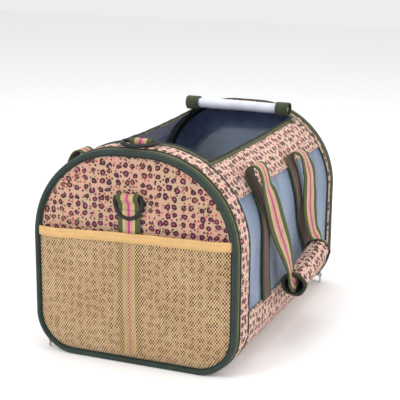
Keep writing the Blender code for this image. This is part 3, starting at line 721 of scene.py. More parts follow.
def build_rim(end, body):
    """Rim piping, both halves of the zip tape and the teeth between them."""
    low, high = span_of(f"{end}_rim_piping")
    y = low + RIM_CORD_R if end == "front" else high - RIM_CORD_R
    line = ring_line(-RIM_CORD_R, y, 320)
    cord = tube(f"{end}_rim_cord", line, RIM_CORD_R, PIPING, 18, True, wrinkle=0.012)
    put(cord, body, "green_piping", f"{end}_rim_piping")

    def crown(girth, t):
        return -0.0004 + 0.0003 * np.sin(math.pi * np.clip(t, 0, 1))

    for part, owner in ((f"{end}_door_tape", body), (f"{end}_body_tape", "carrier")):
        low, high = span_of(part)
        if owner == body:
            low, high = (low - FOLD_OVER, high) if end == "front" else (low, high + FOLD_OVER)
        tape = hoop(f"{part}_cloth", low, high, 0.0002, (320, 5), crown, 0.0010, TAPE_FACES)
        put(tape, owner, "olive_tape", part)
    low, high = span_of(f"{end}_zip_teeth")
    line = closed_line(-0.0002, (low + high) / 2, 0.0013)
    size = (0.0012, high - low + 0.0006, 0.0012)
    teeth = row_along(f"{end}_zip_coil", "carrier", "zip_teeth", line, ZIP_PITCH, size, TEETH)
    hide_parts(f"{end}_zip_teeth")


def section_out(spots):
    """Outward directions at points near the section."""
    out = []
    for x, _, z in spots:
        if z >= ARCH_Z:
            centre = (math.copysign(min(abs(x), FLAT_TOP), x), ARCH_Z)
        elif z <= BOTTOM_RADIUS:
            centre = (math.copysign(min(abs(x), FLAT_BOTTOM), x), BOTTOM_RADIUS)
        else:
            centre = (0.0, z)
        out.append((x - centre[0], 0.0, z - centre[1] if z != centre[1] else 0.0))
    return [o if Vector(o).length > 1e-6 else (0, 0, 1) for o in out]


def wall_piece(name, slot, node, span, offset, thickness, materials, shape, side):
    """Cloth on the slack wall between two girths, over the whole length between the seams."""
    girth = side * np.linspace(*span, shape[0])
    y = np.linspace(WALL_LOW_Y - SEAM_ALLOWANCE, WALL_HIGH_Y + SEAM_ALLOWANCE, shape[1])
    g, across = grid(girth[::side], y)
    made = skin(name, wall_points(g, across, offset), thickness, materials, stack(g, across), False, True)
    return put(made, "carrier", slot, node)


def wall_line(girth, side, inset, offset, count):
    """A line along the wall at one girth."""
    y = np.linspace(WALL_LOW_Y + inset, WALL_HIGH_Y - inset, count)
    return wall_points(np.full(count, side * girth), y, offset)


def wall_stitches(name, girth, offset, side, spacing=0.0038, material=THREAD):
    """A row of stitches along the wall at one girth."""
    line = wall_line(girth, side, 0.001, offset, 200)
    return row_along(name, "carrier", "olive_tape", line, spacing, WINDOW_STITCH, material)


def build_side(side, label):
    """One wall: two leopard bands with the net window between them, and the tape of the top opening."""
    band_end = BAND_HEAD + BAND_REACH
    bands = {"lower": (FLAT_BOTTOM, WINDOW_FOOT, 26), "upper": (WINDOW_HEAD, band_end, 22)}
    for place, (start, end, rows) in bands.items():
        name, node = f"{place}_band_{label}_cloth", f"{place}_band_{label}"
        wall_piece(name, "leopard_cloth", node, (start, end), 0.0, CLOTH, COAT_PINK, (rows, 150), side)
    span = (WINDOW_FOOT - WINDOW_TUCK, WINDOW_HEAD + WINDOW_TUCK)
    name, node, nets = f"window_{label}", f"side_mesh_{label}", (WINDOW_NET,) * 3
    net = wall_piece(name, "window_mesh", node, span, -NET_DEPTH, NET_THICK, nets, (60, 190), side)
    flat = (WALL_HIGH_Y - WALL_LOW_Y + 2 * SEAM_ALLOWANCE, WINDOW_HEAD - WINDOW_FOOT + 2 * WINDOW_TUCK)
    node = f"opening_tape_{label}"
    span = (band_end - 0.0008, OPENING_GIRTH)
    wall_piece(f"{node}_cloth", "olive_tape", node, span, 0.0004, TAPE_THICK, TAPE_FACES, (6, 150), side)
    for place, girth, edge in (("foot", WINDOW_FOOT, -1), ("head", WINDOW_HEAD, 1)):
        line = wall_line(girth + edge * 0.0006, side, 0.0, 0.0001, 160)
        hem = tube(f"window_{place}_hem_{label}", line, 0.0011, LEOPARD_PINK, 8)
        put(hem, "carrier", "leopard_cloth")
        wall_stitches(f"window_{place}_stitches_{label}", girth + edge * 0.0042, 0.0001, side)
    wall_stitches(f"opening_stitches_{label}", band_end + 0.0010, 0.0005, side, 0.0034, THREAD_DARK)
    line = wall_line(OPENING_GIRTH - 0.0012, side, 0.004, 0.0006, 220)
    row_along(f"opening_teeth_{label}", "carrier", "zip_teeth", line, ZIP_PITCH, ZIP_TOOTH, TEETH)


def build_floor_cloth():
    y = np.linspace(WALL_LOW_Y - SEAM_ALLOWANCE, WALL_HIGH_Y + SEAM_ALLOWANCE, 60)
    g, across = grid(np.linspace(-FLAT_BOTTOM, FLAT_BOTTOM, 30), y)
    inside = np.clip((FLAT_BOTTOM - abs(g)) / 0.03, 0, 1)
    rise = FLOOR_CLEAR + 0.0004 * (1 + waves(g * 14, across * 12, 31)) * inside
    points = stack(g, across, np.maximum(rise, FLOOR_CLEAR))
    made = skin("floor_cloth", points, CLOTH, COAT_PINK, stack(g, across), False, True)
    put(made, "carrier", "leopard_cloth", "floor_panel")


# ---------------------------------------------------------------- doors


DOOR_MIDDLE = HEIGHT * 0.48


def disc_points(inset, levels, lift, count=300):
    """A grid that fills the section at an inset, from its edge inwards. lift(x, z, s) is its y."""
    x, z, _, _ = section(round_girths(count), -inset)
    s = np.asarray(levels)[None, :]
    gx = x[:, None] * s
    gz = DOOR_MIDDLE + (z[:, None] - DOOR_MIDDLE) * s
    return stack(gx, lift(gx, gz, np.broadcast_to(s, gx.shape)), gz)


def door_face(x, z, s):
    """The front panel's slack face: full in the middle and drawn in at its seam."""
    full = 0.0022 * (1 - s**4)
    lumps = 0.0007 * waves(x * 13, z * 11, 41) * (1 - s**6)
    pull = 0.0004 * np.sin(np.arctan2(z - HEIGHT / 2, x) * 34 + 2 * np.sin(x * 40)) * s**10
    return PANEL_FACE + 0.0004 - full + lumps - pull + 0.0012 * s**14


def half_width(z, inset):
    """How far the section reaches from its middle plane at a height, at an inset."""
    z = np.asarray(z, float)
    low = BOTTOM_RADIUS - np.clip(z, inset, BOTTOM_RADIUS)
    corner = FLAT_BOTTOM + np.sqrt(np.maximum((BOTTOM_RADIUS - inset) ** 2 - low**2, 0))
    high = np.clip(z, ARCH_Z, None) - ARCH_Z
    arch = FLAT_TOP + np.sqrt(np.maximum((TOP_RADIUS - inset) ** 2 - high**2, 0))
    return np.where(z < BOTTOM_RADIUS, corner, np.where(z > ARCH_Z, arch, WIDTH / 2 - inset))


POCKET_LOW, POCKET_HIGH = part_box("front_pocket")
POCKET_BULGE = PANEL_FACE - POCKET_LOW.y
BINDING_LOW, BINDING_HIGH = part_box("pocket_binding")


def pocket_rise(x):
    """How far the pocket's mouth is pulled up at a distance across the door."""
    share = x / 0.13
    return 0.0041 * share + 0.0022 * (1 - share**2) - 0.0004


def pocket_y(x, z):
    """The pocket net's face: held at the door's seam and standing off the panel towards its mouth."""
    edge = np.clip((half_width(z, PANEL_INSET) - np.abs(x)) / 0.040, 0, 1)
    base = np.clip((z - PANEL_INSET) / 0.016, 0, 1)
    swell = np.sin(edge * math.pi / 2) ** 0.8 * np.sin(base * math.pi / 2) ** 0.9
    up = np.clip((z - 0.03) / 0.14, 0, 1)
    creases = 0.0008 * waves(x * 30 + z * 9, z * 8, 51) * swell
    drape = 0.0007 * np.sin(x * 118 + 2.2 * np.sin(z * 26)) * up * swell
    return PANEL_FACE - 0.0008 - (POCKET_BULGE - 0.0006) * swell * (0.78 + 0.22 * up) - creases + drape


def disc_share(x, z):
    """About how near a point of the door is to its edge, 0 in the middle and 1 at the edge."""
    above = (z - DOOR_MIDDLE) / (HEIGHT - PANEL_INSET - DOOR_MIDDLE)
    below = (DOOR_MIDDLE - z) / (DOOR_MIDDLE - PANEL_INSET)
    wide = np.abs(x) / half_width(z, PANEL_INSET)
    return np.clip(np.maximum(wide, np.where(z > DOOR_MIDDLE, above, below)), 0, 1)


def build_front_door():
    levels = np.concatenate([np.linspace(1.0, 0.9, 9), np.linspace(0.87, 0.002, 34)])
    points = disc_points(PANEL_INSET, levels, door_face)
    panel = skin("front_panel_cloth", points, CLOTH, COAT, points[:, :, [0, 2]], True)
    put(panel, "front_door", "leopard_cloth", "front_panel")
    line = ring_line(-PANEL_INSET + 0.0002, PANEL_FACE + 0.0006, 300)
    put(tube("front_panel_welt", line, 0.0011, PIPING, 8, True), "front_door", "green_piping")

    z = np.concatenate([np.linspace(PANEL_INSET + 0.0004, 0.02, 6), np.linspace(0.024, POCKET_HIGH.z, 40)])
    s, up = grid(np.sin(np.linspace(-1, 1, 110) * math.pi / 2), z)
    x = s * (half_width(up, PANEL_INSET) - 0.0003)
    points = stack(x, pocket_y(x, up), up + pocket_rise(x) * (up / POCKET_HIGH.z) ** 2)
    net = skin("pocket_net", points, None, (POCKET_NET,), points[:, :, [0, 2]])
    put(net, "front_door", "pocket_mesh", "front_pocket")

    # The binding folds over the net's mouth, so it is a flattened loop across the door
    top, foot = BINDING_HIGH.z, BINDING_LOW.z - 0.0012
    s, a = grid(np.linspace(-1, 1, 130), np.linspace(0, TAU, 25))
    x = s * (half_width((top + foot) / 2, PANEL_INSET) + 0.0012)
    mid = (top + foot) / 2 + pocket_rise(x)
    y = pocket_y(x, np.full_like(x, POCKET_HIGH.z)) - 0.0004 - 0.0013 * np.cos(a)
    y = y + 0.00025 * np.sin(x * 620) * np.cos(a)
    points = stack(x, y, mid + (top - foot) / 2 * np.sin(a))
    uv = stack(x, (top - foot) * a / math.pi)
    band = skin("pocket_binding_cloth", points, 0.0004, (BINDING,) * 3, uv, False, True)
    put(band, "front_door", "tan_binding", "pocket_binding")
    for place, at in (("upper", 0.0026), ("lower", -0.0036)):
        name, line = f"pocket_stitches_{place}", stack(x[:, 0], y[:, 0] - 0.0001, mid[:, 0] + at)
        row_along(name, "front_door", "tan_binding", line, 0.0036, POCKET_STITCH, THREAD, FORWARDS)

    low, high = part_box("front_strap")
    across = np.linspace(-WEB_WIDTH / 2, WEB_WIDTH / 2, 15)
    zz, ww = grid(np.linspace(low.z + 0.002, high.z + 0.004, 90), across)
    x = (low.x + high.x) / 2 + ww + 0.0006 * np.sin(zz * 45)
    face = door_face(x, zz, disc_share(x, zz))
    points = stack(x, face - WEB_THICK - 0.0002 + 0.0005 * (abs(ww) / 0.015) ** 4, zz)
    strap = skin("front_webbing", points, WEB_THICK, (WEBBING,) * 3, stack(zz, ww))
    put(strap, "front_door", "striped_webbing", "front_strap")
    for place, k in (("left", 1), ("right", 13)):
        name, line = f"front_webbing_stitches_{place}", points[:, k] - [0, 0.0001, 0]
        row_along(name, "front_door", "striped_webbing", line, 0.0040, STRAP_STITCH, THREAD_DARK, FORWARDS)


def build_rear_door():
    low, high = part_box("rear_panel")
    inner_low, inner_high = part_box("rear_mesh")
    window = (WIDTH - (inner_high.x - inner_low.x)) / 2
    levels = np.linspace(PANEL_INSET, window + 0.002, 14)
    g, inset = grid(round_girths(300), levels)
    x, z, _, _ = section(g, -inset)
    t = np.clip((inset - levels[0]) / (levels[-1] - levels[0]), 0, 1)
    y = high.y - 0.0004 + 0.0020 * np.sin(math.pi * t) ** 0.7 + 0.0005 * waves(x * 16, z * 15, 61)
    points = stack(x, y, z)
    frame_cloth = skin("rear_panel_cloth", points, CLOTH, COAT, points[:, :, [0, 2]], True, True)
    put(frame_cloth, "rear_door", "leopard_cloth", "rear_panel")
    line = ring_line(-PANEL_INSET + 0.0002, high.y - 0.0006, 300)
    put(tube("rear_panel_welt", line, 0.0015, PIPING, 8, True), "rear_door", "green_piping")
    line = ring_line(-window, high.y + 0.0002, 260)
    put(tube("rear_window_hem", line, 0.0013, LEOPARD, 8, True), "rear_door", "leopard_cloth")

    def net_y(x, z, s):
        billow = 0.0009 * waves(x * 18, z * 14, 67) * (1 - s**8)
        return (low.y + high.y) / 2 - 0.0012 + 0.0026 * (1 - s**2) + billow

    points = disc_points(window - WINDOW_TUCK, np.linspace(1.0, 0.002, 40), net_y, 240)
    net = skin("rear_window", points, 0.0006, (WINDOW_NET,) * 3, points[:, :, [0, 2]], True, True)
    put(net, "rear_door", "window_mesh", "rear_mesh")
    # A row of stitches round the window, on the panel beside its hem
    ring = ring_line(-window + 0.004, high.y + 0.0009, 360)
    name, line = "rear_window_stitches", np.vstack([ring, ring[:1]])
    row_along(name, "rear_door", "leopard_cloth", line, 0.0038, WINDOW_STITCH, THREAD, BACKWARDS)


# ---------------------------------------------------------------- rings


RING_FULLNESS = 1.12


def build_ring(node, body, up_axis):
    """A D-ring bent from one bar, with a straight side in its tab."""
    low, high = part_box(node)
    wire = (high.y - low.y) / 2 if up_axis == "z" else (high.z - low.z) / 2
    width = high.x - low.x
    middle = (low.x + high.x) / 2
    depth = (high.z - low.z if up_axis == "z" else high.y - low.y) - 2 * wire
    reach = width / 2 - wire
    shoulder = 0.005
    outline = [(-reach + 0.003, 0.0), (0.0, 0.0), (reach - 0.003, 0.0)]
    outline += [(reach - 0.0006, -0.0009), (reach, -0.0035)]
    steps = 18
    for i in range(steps + 1):
        turn = math.pi * i / steps
        outline.append((reach * math.cos(turn), -shoulder - (depth - shoulder) * math.sin(turn)))
    outline += [(-reach, -0.0035), (-reach + 0.0006, -0.0009)]
    closed = [(x, d, 0.0) for x, d in [*outline, outline[0]]]
    loop, _ = resample(closed, 0.0009)
    if up_axis == "z":
        y = (low.y + high.y) / 2
        line = [(middle + x, y, high.z - wire + d) for x, d, _ in loop]
    else:
        z = (low.z + high.z) / 2
        line = [(middle + x, high.y - wire + d, z) for x, d, _ in loop]
    made = tube(f"{node}_bar", line, wire * RING_FULLNESS, PLASTIC, 16, True)
    return put(made, body, "black_plastic", node)


def ribbon(name, path, across, width, thickness, materials, columns=11, flip=False):
    """Flat webbing along a path. across holds the direction of its width at each point."""
    path = np.asarray(path, float)
    across = np.asarray(across, float)
    across = across / np.linalg.norm(across, axis=-1, keepdims=True)
    across = np.broadcast_to(across, path.shape)
    run = np.concatenate([[0], np.cumsum(np.linalg.norm(np.diff(path, axis=0), axis=1))])
    reach = np.linspace(-0.5, 0.5, columns)
    wide = np.broadcast_to(np.asarray(width, float), run.shape)
    points = path[:, None, :] + across[:, None, :] * (reach[None, :] * wide[:, None])[:, :, None]
    return skin(name, points, thickness, materials, stack(*grid(run, reach * WEB_WIDTH)), False, flip)


def build_tab(node, body, ring, upright):
    """Webbing folded round a ring's bar, with both ends sewn to the cloth."""
    low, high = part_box(node)
    ring_low, ring_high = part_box(ring)
    if upright:
        wire = (ring_high.y - ring_low.y) / 2
        hub = ((ring_low.y + ring_high.y) / 2, ring_high.z - wire)
        base = PANEL_FACE - 0.0012 - hub[0]
        tail = hub[1] - low.z
    else:
        wire = (ring_high.z - ring_low.z) / 2
        hub = (ring_high.y - wire, (ring_low.z + ring_high.z) / 2)
        base = hub[1] - HEIGHT - 0.0004
        tail = high.y - hub[0]
    eye = wire * RING_FULLNESS + 0.0016
    # Profile in (down the tail, away from the cloth), from the outer layer round the bar and back
    turn = np.linspace(0.42 * math.pi, 1.45 * math.pi, 16)
    profile = [(tail, 0.0030 - base), (tail * 0.75, 0.0031 - base), (tail * 0.48, 0.0034 - base)]
    profile += [(eye * math.cos(a), eye * math.sin(a)) for a in turn]
    profile += [(tail * 0.35, 0.0013 - base), (tail * 0.7, 0.0012 - base), (tail, 0.0012 - base)]
    curve = smooth_path([(t, o, 0) for t, o in profile], 110)
    middle = (low.x + high.x) / 2
    if upright:
        path = [(middle, hub[0] - o, hub[1] - t) for t, o, _ in curve]
    else:
        path = [(middle, hub[0] + t, hub[1] + o) for t, o, _ in curve]
    width = (high.x - low.x) * 0.985
    made = ribbon(f"{node}_webbing", path, (1, 0, 0), width, 0.0013, (WEBBING,) * 3, 13, False)
    put(made, body, "striped_webbing", node)
    if upright:
        flat = [(x, hub[0] + base - 0.0033, hub[1] - t) for x, t in tab_box(middle, width, tail)]
    else:
        flat = [(x, hub[0] + t, hub[1] - base + 0.0033) for x, t in tab_box(middle, width, tail)]
    away = FORWARDS if upright else UPWARDS
    row_along(f"{node}_stitches", body, "striped_webbing", flat, 0.0034, TAB_STITCH, THREAD_DARK, away)


def tab_box(middle, width, tail):
    """Corners of the box stitch on a tab, with its cross, as (x, down the tail)."""
    a, b = middle - width * 0.42, middle + width * 0.42
    top, foot = tail * 0.50, tail * 0.93
    return [(a, top), (b, top), (b, foot), (a, foot), (a, top), (b, foot), (b, top), (a, foot)]


# ---------------------------------------------------------------- handles

STRAP_LIFT = 0.0024


# Share of a rear leg's lean at each height
LEAN_HEIGHTS = (0.090, 0.105, 0.128, 0.147, 0.170, 0.195, 0.2165)
LEAN_SHARES = (0.0, 0.02, 0.39, 0.71, 0.95, 1.0, 0.88)


def build_sewn_leg(node, side):
    """The part of a handle's webbing that is sewn up the wall. Gives its top, as (x, y, z)."""
    low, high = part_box(node)
    lean = (high.y - low.y) - WEB_WIDTH
    foot = wall_girth(LOWER_BAND_TOP) - 0.006
    head = ARCH_START + TOP_RADIUS * math.asin((high.z - ARCH_Z) / (TOP_RADIUS + STRAP_LIFT))
    girth = np.linspace(foot, head, 110)
    t = (girth - foot) / (head - foot)
    height = section(girth)[1]
    middle = high.y - WEB_WIDTH / 2 - lean * np.interp(height, LEAN_HEIGHTS, LEAN_SHARES)
    for _ in range(30):
        middle[1:-1] = (middle[:-2] + middle[1:-1] * 2 + middle[2:]) / 4
    middle = middle + 0.0010 * np.sin(t * 5.2 + high.y * 30) * np.sin(math.pi * t)
    slope = np.gradient(middle, girth) * np.clip((1 - t) / 0.12, 0, 1)
    reach = np.linspace(-WEB_WIDTH / 2, WEB_WIDTH / 2, 13)
    true = np.sqrt(1 + slope**2)
    g = girth[:, None] - reach[None, :] * (slope / true)[:, None]
    y = middle[:, None] + reach[None, :] / true[:, None]
    up = np.broadcast_to(t[:, None], g.shape)
    lift = STRAP_LIFT + 0.0006 * waves(g * 16, y * 8, 71) * np.sin(math.pi * up)
    lift = lift - 0.0034 * np.clip(1 - up / 0.035, 0, 1) ** 1.5
    points = wall_points(side * g, y, lift)
    run = np.concatenate([[0], np.cumsum(np.hypot(np.diff(girth), np.diff(middle)))])
    uv = stack(*grid(run, reach))
    # The sewn leg takes the darker copy of the webbing, painted shade on its stripes
    made = skin(f"{node}_webbing", points, WEB_THICK, (WEBBING_SHADED,) * 3, uv, False, side > 0)
    put(made, "carrier", "striped_webbing", node)
    for place, k in (("front", 1), ("rear", 11)):
        name, line = f"{node}_stitches_{place}", points[6:, k]
        row_along(name, "carrier", "striped_webbing", line, 0.0040, LEG_STITCH, THREAD_DARK)
    return points[-1, 6]


# Centre lines of the free webbing from the top of each leg: (x, y from the leg's top, z)
FRONT_FALL = (
    (0.1165, 0.0000, 0.2335),
    (0.1150, -0.0005, 0.2400),
    (0.1165, -0.0010, 0.2465),
    (0.1225, -0.0020, 0.2510),
    (0.1295, -0.0035, 0.2500),
    (0.1345, -0.0055, 0.2440),
    (0.1382, -0.0075, 0.2340),
    (0.1405, -0.0070, 0.2230),
    (0.1437, 0.0015, 0.2050),
    (0.1470, 0.0130, 0.1770),
    (0.1492, 0.0260, 0.1540),
    (0.1522, 0.0395, 0.1300),
    (0.1565, 0.0455, 0.1060),
)
REAR_FALL = (
    (0.1236, 0.0005, 0.2235),
    (0.1216, 0.0025, 0.2300),
    (0.1236, 0.0070, 0.2355),
    (0.1290, 0.0125, 0.2375),
    (0.1345, 0.0165, 0.2330),
    (0.1384, 0.0185, 0.2235),
    (0.1430, 0.0220, 0.2040),
    (0.1470, 0.0135, 0.1840),
    (0.1490, 0.0095, 0.1560),
    (0.1528, 0.0160, 0.1240),
)
# Last bends into the grip's ends: (x from the grip's middle line, out of its end, z from its end's middle)
FRONT_ENTRY = ((-0.0030, 0.0050, 0.0120), (-0.0010, 0.0050, 0.0060))
REAR_ENTRY = ((-0.0050, 0.0100, 0.0130), (-0.0015, 0.0090, 0.0050))
BLEND_SPAN = {"front": (0.1212, 0.1345), "rear": (0.1285, 0.1380)}
TWIST = math.radians(-20)
ARCH_FOOT_Z = 0.232


def build_strap(side, place, top, grip_front, grip_rear):
    """The free webbing from the top of a sewn leg, over its arch and down into the grip's end."""
    along = (grip_rear - grip_front).normalized()
    front = place == "front"
    end = grip_front if front else grip_rear
    inward = along if front else -along
    falls, entry = (FRONT_FALL, FRONT_ENTRY) if front else (REAR_FALL, REAR_ENTRY)
    reach = abs(float(top[0]))
    path = [(side * (reach + 0.0007), top[1], top[2] - 0.0025)]
    path += [(side * (reach - 0.0003), top[1], top[2] + 0.0005)]
    path += [(side * x, float(top[1]) + y, z) for x, y, z in falls]
    for x, out_of, z in entry:
        path.append((end.x + side * x, end.y - inward.y * out_of, end.z + z))
    path += [tuple(end + inward * 0.003), tuple(end + inward * 0.012), tuple(end + inward * 0.022)]
    fine = smooth_path(path, 200)
    tangent = np.gradient(fine, axis=0)
    tangent /= np.linalg.norm(tangent, axis=1, keepdims=True)
    # Over the arch the width stays level along Y, and lower down it follows the path
    across = np.cross(np.array([side, 0.0, 0.0]), tangent)
    flat = np.array([0.0, -1.0 if side > 0 else 1.0, 0.0])
    past = np.argmax(fine[:, 2])
    follow = np.clip((ARCH_FOOT_Z - fine[:, 2]) / 0.02, 0, 1)
    follow = np.where(np.arange(len(fine)) < past, 0.0, follow)[:, None]
    if np.dot(across[past + 40], flat) < 0:
        flat = -flat
    across = flat * (1 - follow) + across * follow
    across /= np.linalg.norm(across, axis=1, keepdims=True)
    face = np.cross(across, tangent)
    turn = TWIST * np.sin(math.pi * np.clip((ARCH_FOOT_Z - fine[:, 2]) / 0.12, 0, 1)) * follow[:, 0]
    across = across * np.cos(turn)[:, None] + face * (np.sin(turn) * side)[:, None]
    run = np.concatenate([[0], np.cumsum(np.linalg.norm(np.diff(fine, axis=0), axis=1))])
    left = run[-1] - run
    width = WEB_WIDTH * (1 - 0.24 * np.clip((0.060 - left) / 0.034, 0, 1))
    return fine, across, width


def build_handle(side, label):
    """Two sewn legs, the webbing that comes free of them and the grip it hangs from."""
    body = f"{label}_handle"
    low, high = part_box(f"grip_{label}")
    front, rear = (sum(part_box(f"grip_binding_{label}_{place}"), Vector()) / 2 for place in ("front", "rear"))
    x = side * (abs(low.x) + abs(high.x)) / 2
    along = Vector((0, 1, (rear.z - front.z) / (rear.y - front.y))).normalized()
    a = Vector((x, front.y, front.z)) - along * 0.0035
    b = Vector((x, rear.y, rear.z)) + along * 0.0035
    # One face of the free webbing takes the darker copy, painted shade on its underside
    faces = (WEBBING_SHADED, WEBBING) if side > 0 else (WEBBING, WEBBING_SHADED)
    for place in ("front", "rear"):
        top = build_sewn_leg(f"sewn_leg_{label}_{place}", side)
        fine, across, width = build_strap(side, place, top, a, b)
        flip = (side > 0) == (np.cross(fine[1] - fine[0], across[0])[0] * side < 0)
        name = f"handle_web_{label}_{place}"
        made = ribbon(name, fine, across, width, WEB_THICK, (*faces, WEBBING), 13, flip)
        start, end = ((side * reach, float(top[1]), float(top[2])) for reach in BLEND_SPAN[place])
        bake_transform(made)
        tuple(start)
        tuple(end)
        if place == "front":
            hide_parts(f"handle_strap_{label}")
    build_grip(side, label, body, a, b, (high.x - low.x) / 2)


WRAP_TURNS = 1.10
WRAP_THICK = 0.0024
GRIP_WIDE, GRIP_TALL = 1.02, 0.96
LIP_OUTSIDE, LIP_INSIDE, LIP_DEPTH = 0.0034, 0.0080, 0.0034


def build_grip(side, label, body, a, b, radius):
    """Padded leopard wrap with an overlapping flap edge, and a bound opening at each end."""
    along = (b - a).normalized()
    out = Vector((side, 0, 0))
    up = along.cross(out) if side < 0 else out.cross(along)
    up = up if up.z > 0 else -up

    def round_grip(places, outwards, upwards, r):
        """Points round the grip's middle line, in its slightly flattened section."""
        arm = np.array(out) * outwards[..., None] * GRIP_WIDE + np.array(up) * upwards[..., None] * GRIP_TALL
        return places + arm * r[..., None]

    # The wrap goes a little more than once round; its free edge lies on top, towards the wall
    tt, aa = grid(np.linspace(0, 1, 70), np.linspace(0, WRAP_TURNS * TAU, 84))
    over = np.clip((aa - 0.98 * TAU) / (0.06 * TAU), 0, 1)
    puff = 0.0005 * waves(tt * 5, aa * 0.6, 81) + 0.0008 * np.sin(math.pi * tt) ** 0.5 - 0.0010
    edge = 0.0010 * np.clip((aa - 1.04 * TAU) / (0.06 * TAU), 0, 1)
    r = radius - 0.0014 + puff + over * 0.0016 - edge
    angle = (0.30 * math.pi + aa) * side
    base = np.array(a)[None, None, :] + tt[..., None] * np.array(b - a)
    points = round_grip(base, side * np.cos(angle), np.sin(angle), r)
    uv = stack(tt * (b - a).length, aa * radius)
    faces = (LEOPARD_PINK, GRIP_INSIDE, PIPING)
    made = skin(f"grip_{label}_wrap", points, WRAP_THICK, faces, uv, False, side < 0, 40)
    put(made, body, "leopard_cloth", f"grip_{label}")

    def from_axis(spot):
        arm = Vector(spot) - a
        return tuple(arm - along * arm.dot(along))

    name, line = f"grip_{label}_stitches", points[2:-2, 80]
    row_along(name, body, "leopard_cloth", line, 0.0036, GRIP_STITCH, THREAD_DARK, from_axis)
    for place, at, way in (("front", a, 1), ("rear", b, -1)):
        aa, ss = grid(np.linspace(0, TAU, 60, endpoint=False), np.linspace(0, 1, 17))
        # From outside over the rolled lip to inside
        lip = np.clip((ss - 0.45) / 0.2, 0, 1)
        inside = np.clip((ss - 0.65) / 0.35, 0, 1) * LIP_INSIDE
        reach = np.where(ss < 0.45, (0.45 - ss) / 0.45 * LIP_OUTSIDE, inside)
        reach = reach - 0.0006 * np.sin(math.pi * lip)
        r = radius + 0.0002 - LIP_DEPTH * lip + 0.0005 * np.sin(aa * 5 + 1)
        places = np.array(at) + np.array(along) * way * reach[..., None]
        points = round_grip(places, np.cos(aa), np.sin(aa), r)
        cross = np.cross(points[1, 0] - points[0, 0], points[0, 1] - points[0, 0])
        wrong = np.dot(cross, points[0, 0] - np.array(at)) < 0
        uv = stack(aa * radius, ss * 0.02)
        lipped = skin(f"grip_{label}_binding_{place}", points, 0.0004, (TAPE_DARK,) * 3, uv, True, wrong)
        put(lipped, body, "olive_tape", f"grip_binding_{label}_{place}")


# ---------------------------------------------------------------- opening

LOOP_X = 0.072


def arch_height(x):
    reach = np.maximum(np.abs(x) - FLAT_TOP, 0.0)
    return ARCH_Z + np.sqrt(TOP_RADIUS**2 - reach**2)


def build_opening():
    """Zip tapes across the arch, the flap rolled behind the opening and the two loops round it."""
    for place in ("front", "rear"):
        node = f"opening_tape_{place}"
        low, high = span_of(node)
        x = np.linspace(OPENING_HALF + 0.0015, -OPENING_HALF - 0.0015, 60)
        gx, gy = grid(x, np.linspace(low - 0.0006, high + 0.0006, 7))
        gz = arch_height(gx) + 0.0002 - 0.0004 * np.abs((gy - (low + high) / 2) / (high - low)) ** 2
        points = stack(gx, gy, gz)
        tape = skin(f"{node}_cloth", points, TAPE_THICK, TAPE_FACES, points[:, :, :2], False, True)
        put(tape, "carrier", "olive_tape", node)
        line = points[2:-2, 5 if place == "front" else 1] + [0, 0, 0.0001]
        row_along(f"opening_teeth_{place}", "carrier", "zip_teeth", line, ZIP_PITCH, ZIP_TOOTH, TEETH)
    low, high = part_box("rolled_flap")
    y, z = (low.y + high.y) / 2, (low.z + high.z) / 2
    radius = (high.y - low.y) / 2
    # The rolled cloth is as long as the opening that it covers
    length = span_of("opening_tape_rear")[1] - span_of("opening_tape_front")[0]
    turns = length / (TAU * (0.0012 + (radius - 0.0016) / 1.9))
    a = np.linspace(0, turns * TAU, 340)
    x = np.linspace(low.x - 0.003, high.x + 0.003, 60)
    xx, aa = grid(x, a)
    s = np.broadcast_to(a / a[-1], xx.shape)
    squash = 0.0005 * waves(xx * 14, 0.4 * np.sin(aa), 91)
    # The cloth pulls in under its two loops
    pinch = sum(np.exp(-(((xx - side * LOOP_X) / 0.011) ** 2)) for side in (-1, 1))
    r = 0.0012 + (radius - 0.0016) * s**0.9 + squash * s - 0.0008 * pinch * s
    telescope = 0.0026 * np.sin(aa * 0.5) * np.sign(xx) * np.clip((np.abs(xx) - 0.06) / 0.015, 0, 1)
    angle = aa - turns * TAU + 0.6 * math.pi
    points = stack(xx + telescope, y - r * np.cos(angle), z + r * np.sin(angle) * 0.97)
    roll = skin("flap_roll", points, 0.00035, (FLAP,) * 3, stack(xx, aa * radius * 0.5))
    put(roll, "carrier", "flap_cloth", "rolled_flap")
    for label in ("right", "left"):
        node = f"flap_loop_{label}"
        low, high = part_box(node)
        middle_x, middle_y, middle_z = ((a + b) / 2 for a, b in zip(low, high))
        aa, xx = grid(np.linspace(0, TAU, 64, endpoint=False), np.linspace(low.x, high.x, 13))
        r = (high.y - low.y) / 2 - 0.0004 + 0.0003 * np.sin(aa * 3) - 0.0005 * ((xx - middle_x) / 0.010) ** 4
        points = stack(xx, middle_y + r * np.cos(aa), middle_z + r * np.sin(aa))
        loop = skin(f"{node}_cloth", points, 0.0009, (TAPE_DARK,) * 3, stack(aa * 0.009, xx - middle_x), True)
        put(loop, "carrier", "olive_tape", node)

        def from_roll(spot):
            return 0, spot[1] - middle_y, spot[2] - middle_z

        for edge in (1, 11):
            name, line = f"{node}_stitches_{edge}", np.vstack([points[:, edge], points[:1, edge]])
            row_along(name, "carrier", "olive_tape", line, 0.0032, LOOP_STITCH, THREAD_DARK, from_roll)


# ---------------------------------------------------------------- zips


CROWN_REACH = 0.0045
TAB_REACH = 0.0083


def placed(origin, x, y, z):
    """The matrix of a frame with its origin and three axes."""
    return Matrix.Translation(origin) @ Matrix((x, y, z)).transposed().to_4x4()


def rounded(count, power):
    """Points round a square with rounded corners, one unit out each way."""
    for i in range(count):
        c, s = math.cos(TAU * i / count), math.sin(TAU * i / count)
        yield math.copysign(abs(c) ** power, c), math.copysign(abs(s) ** power, s)


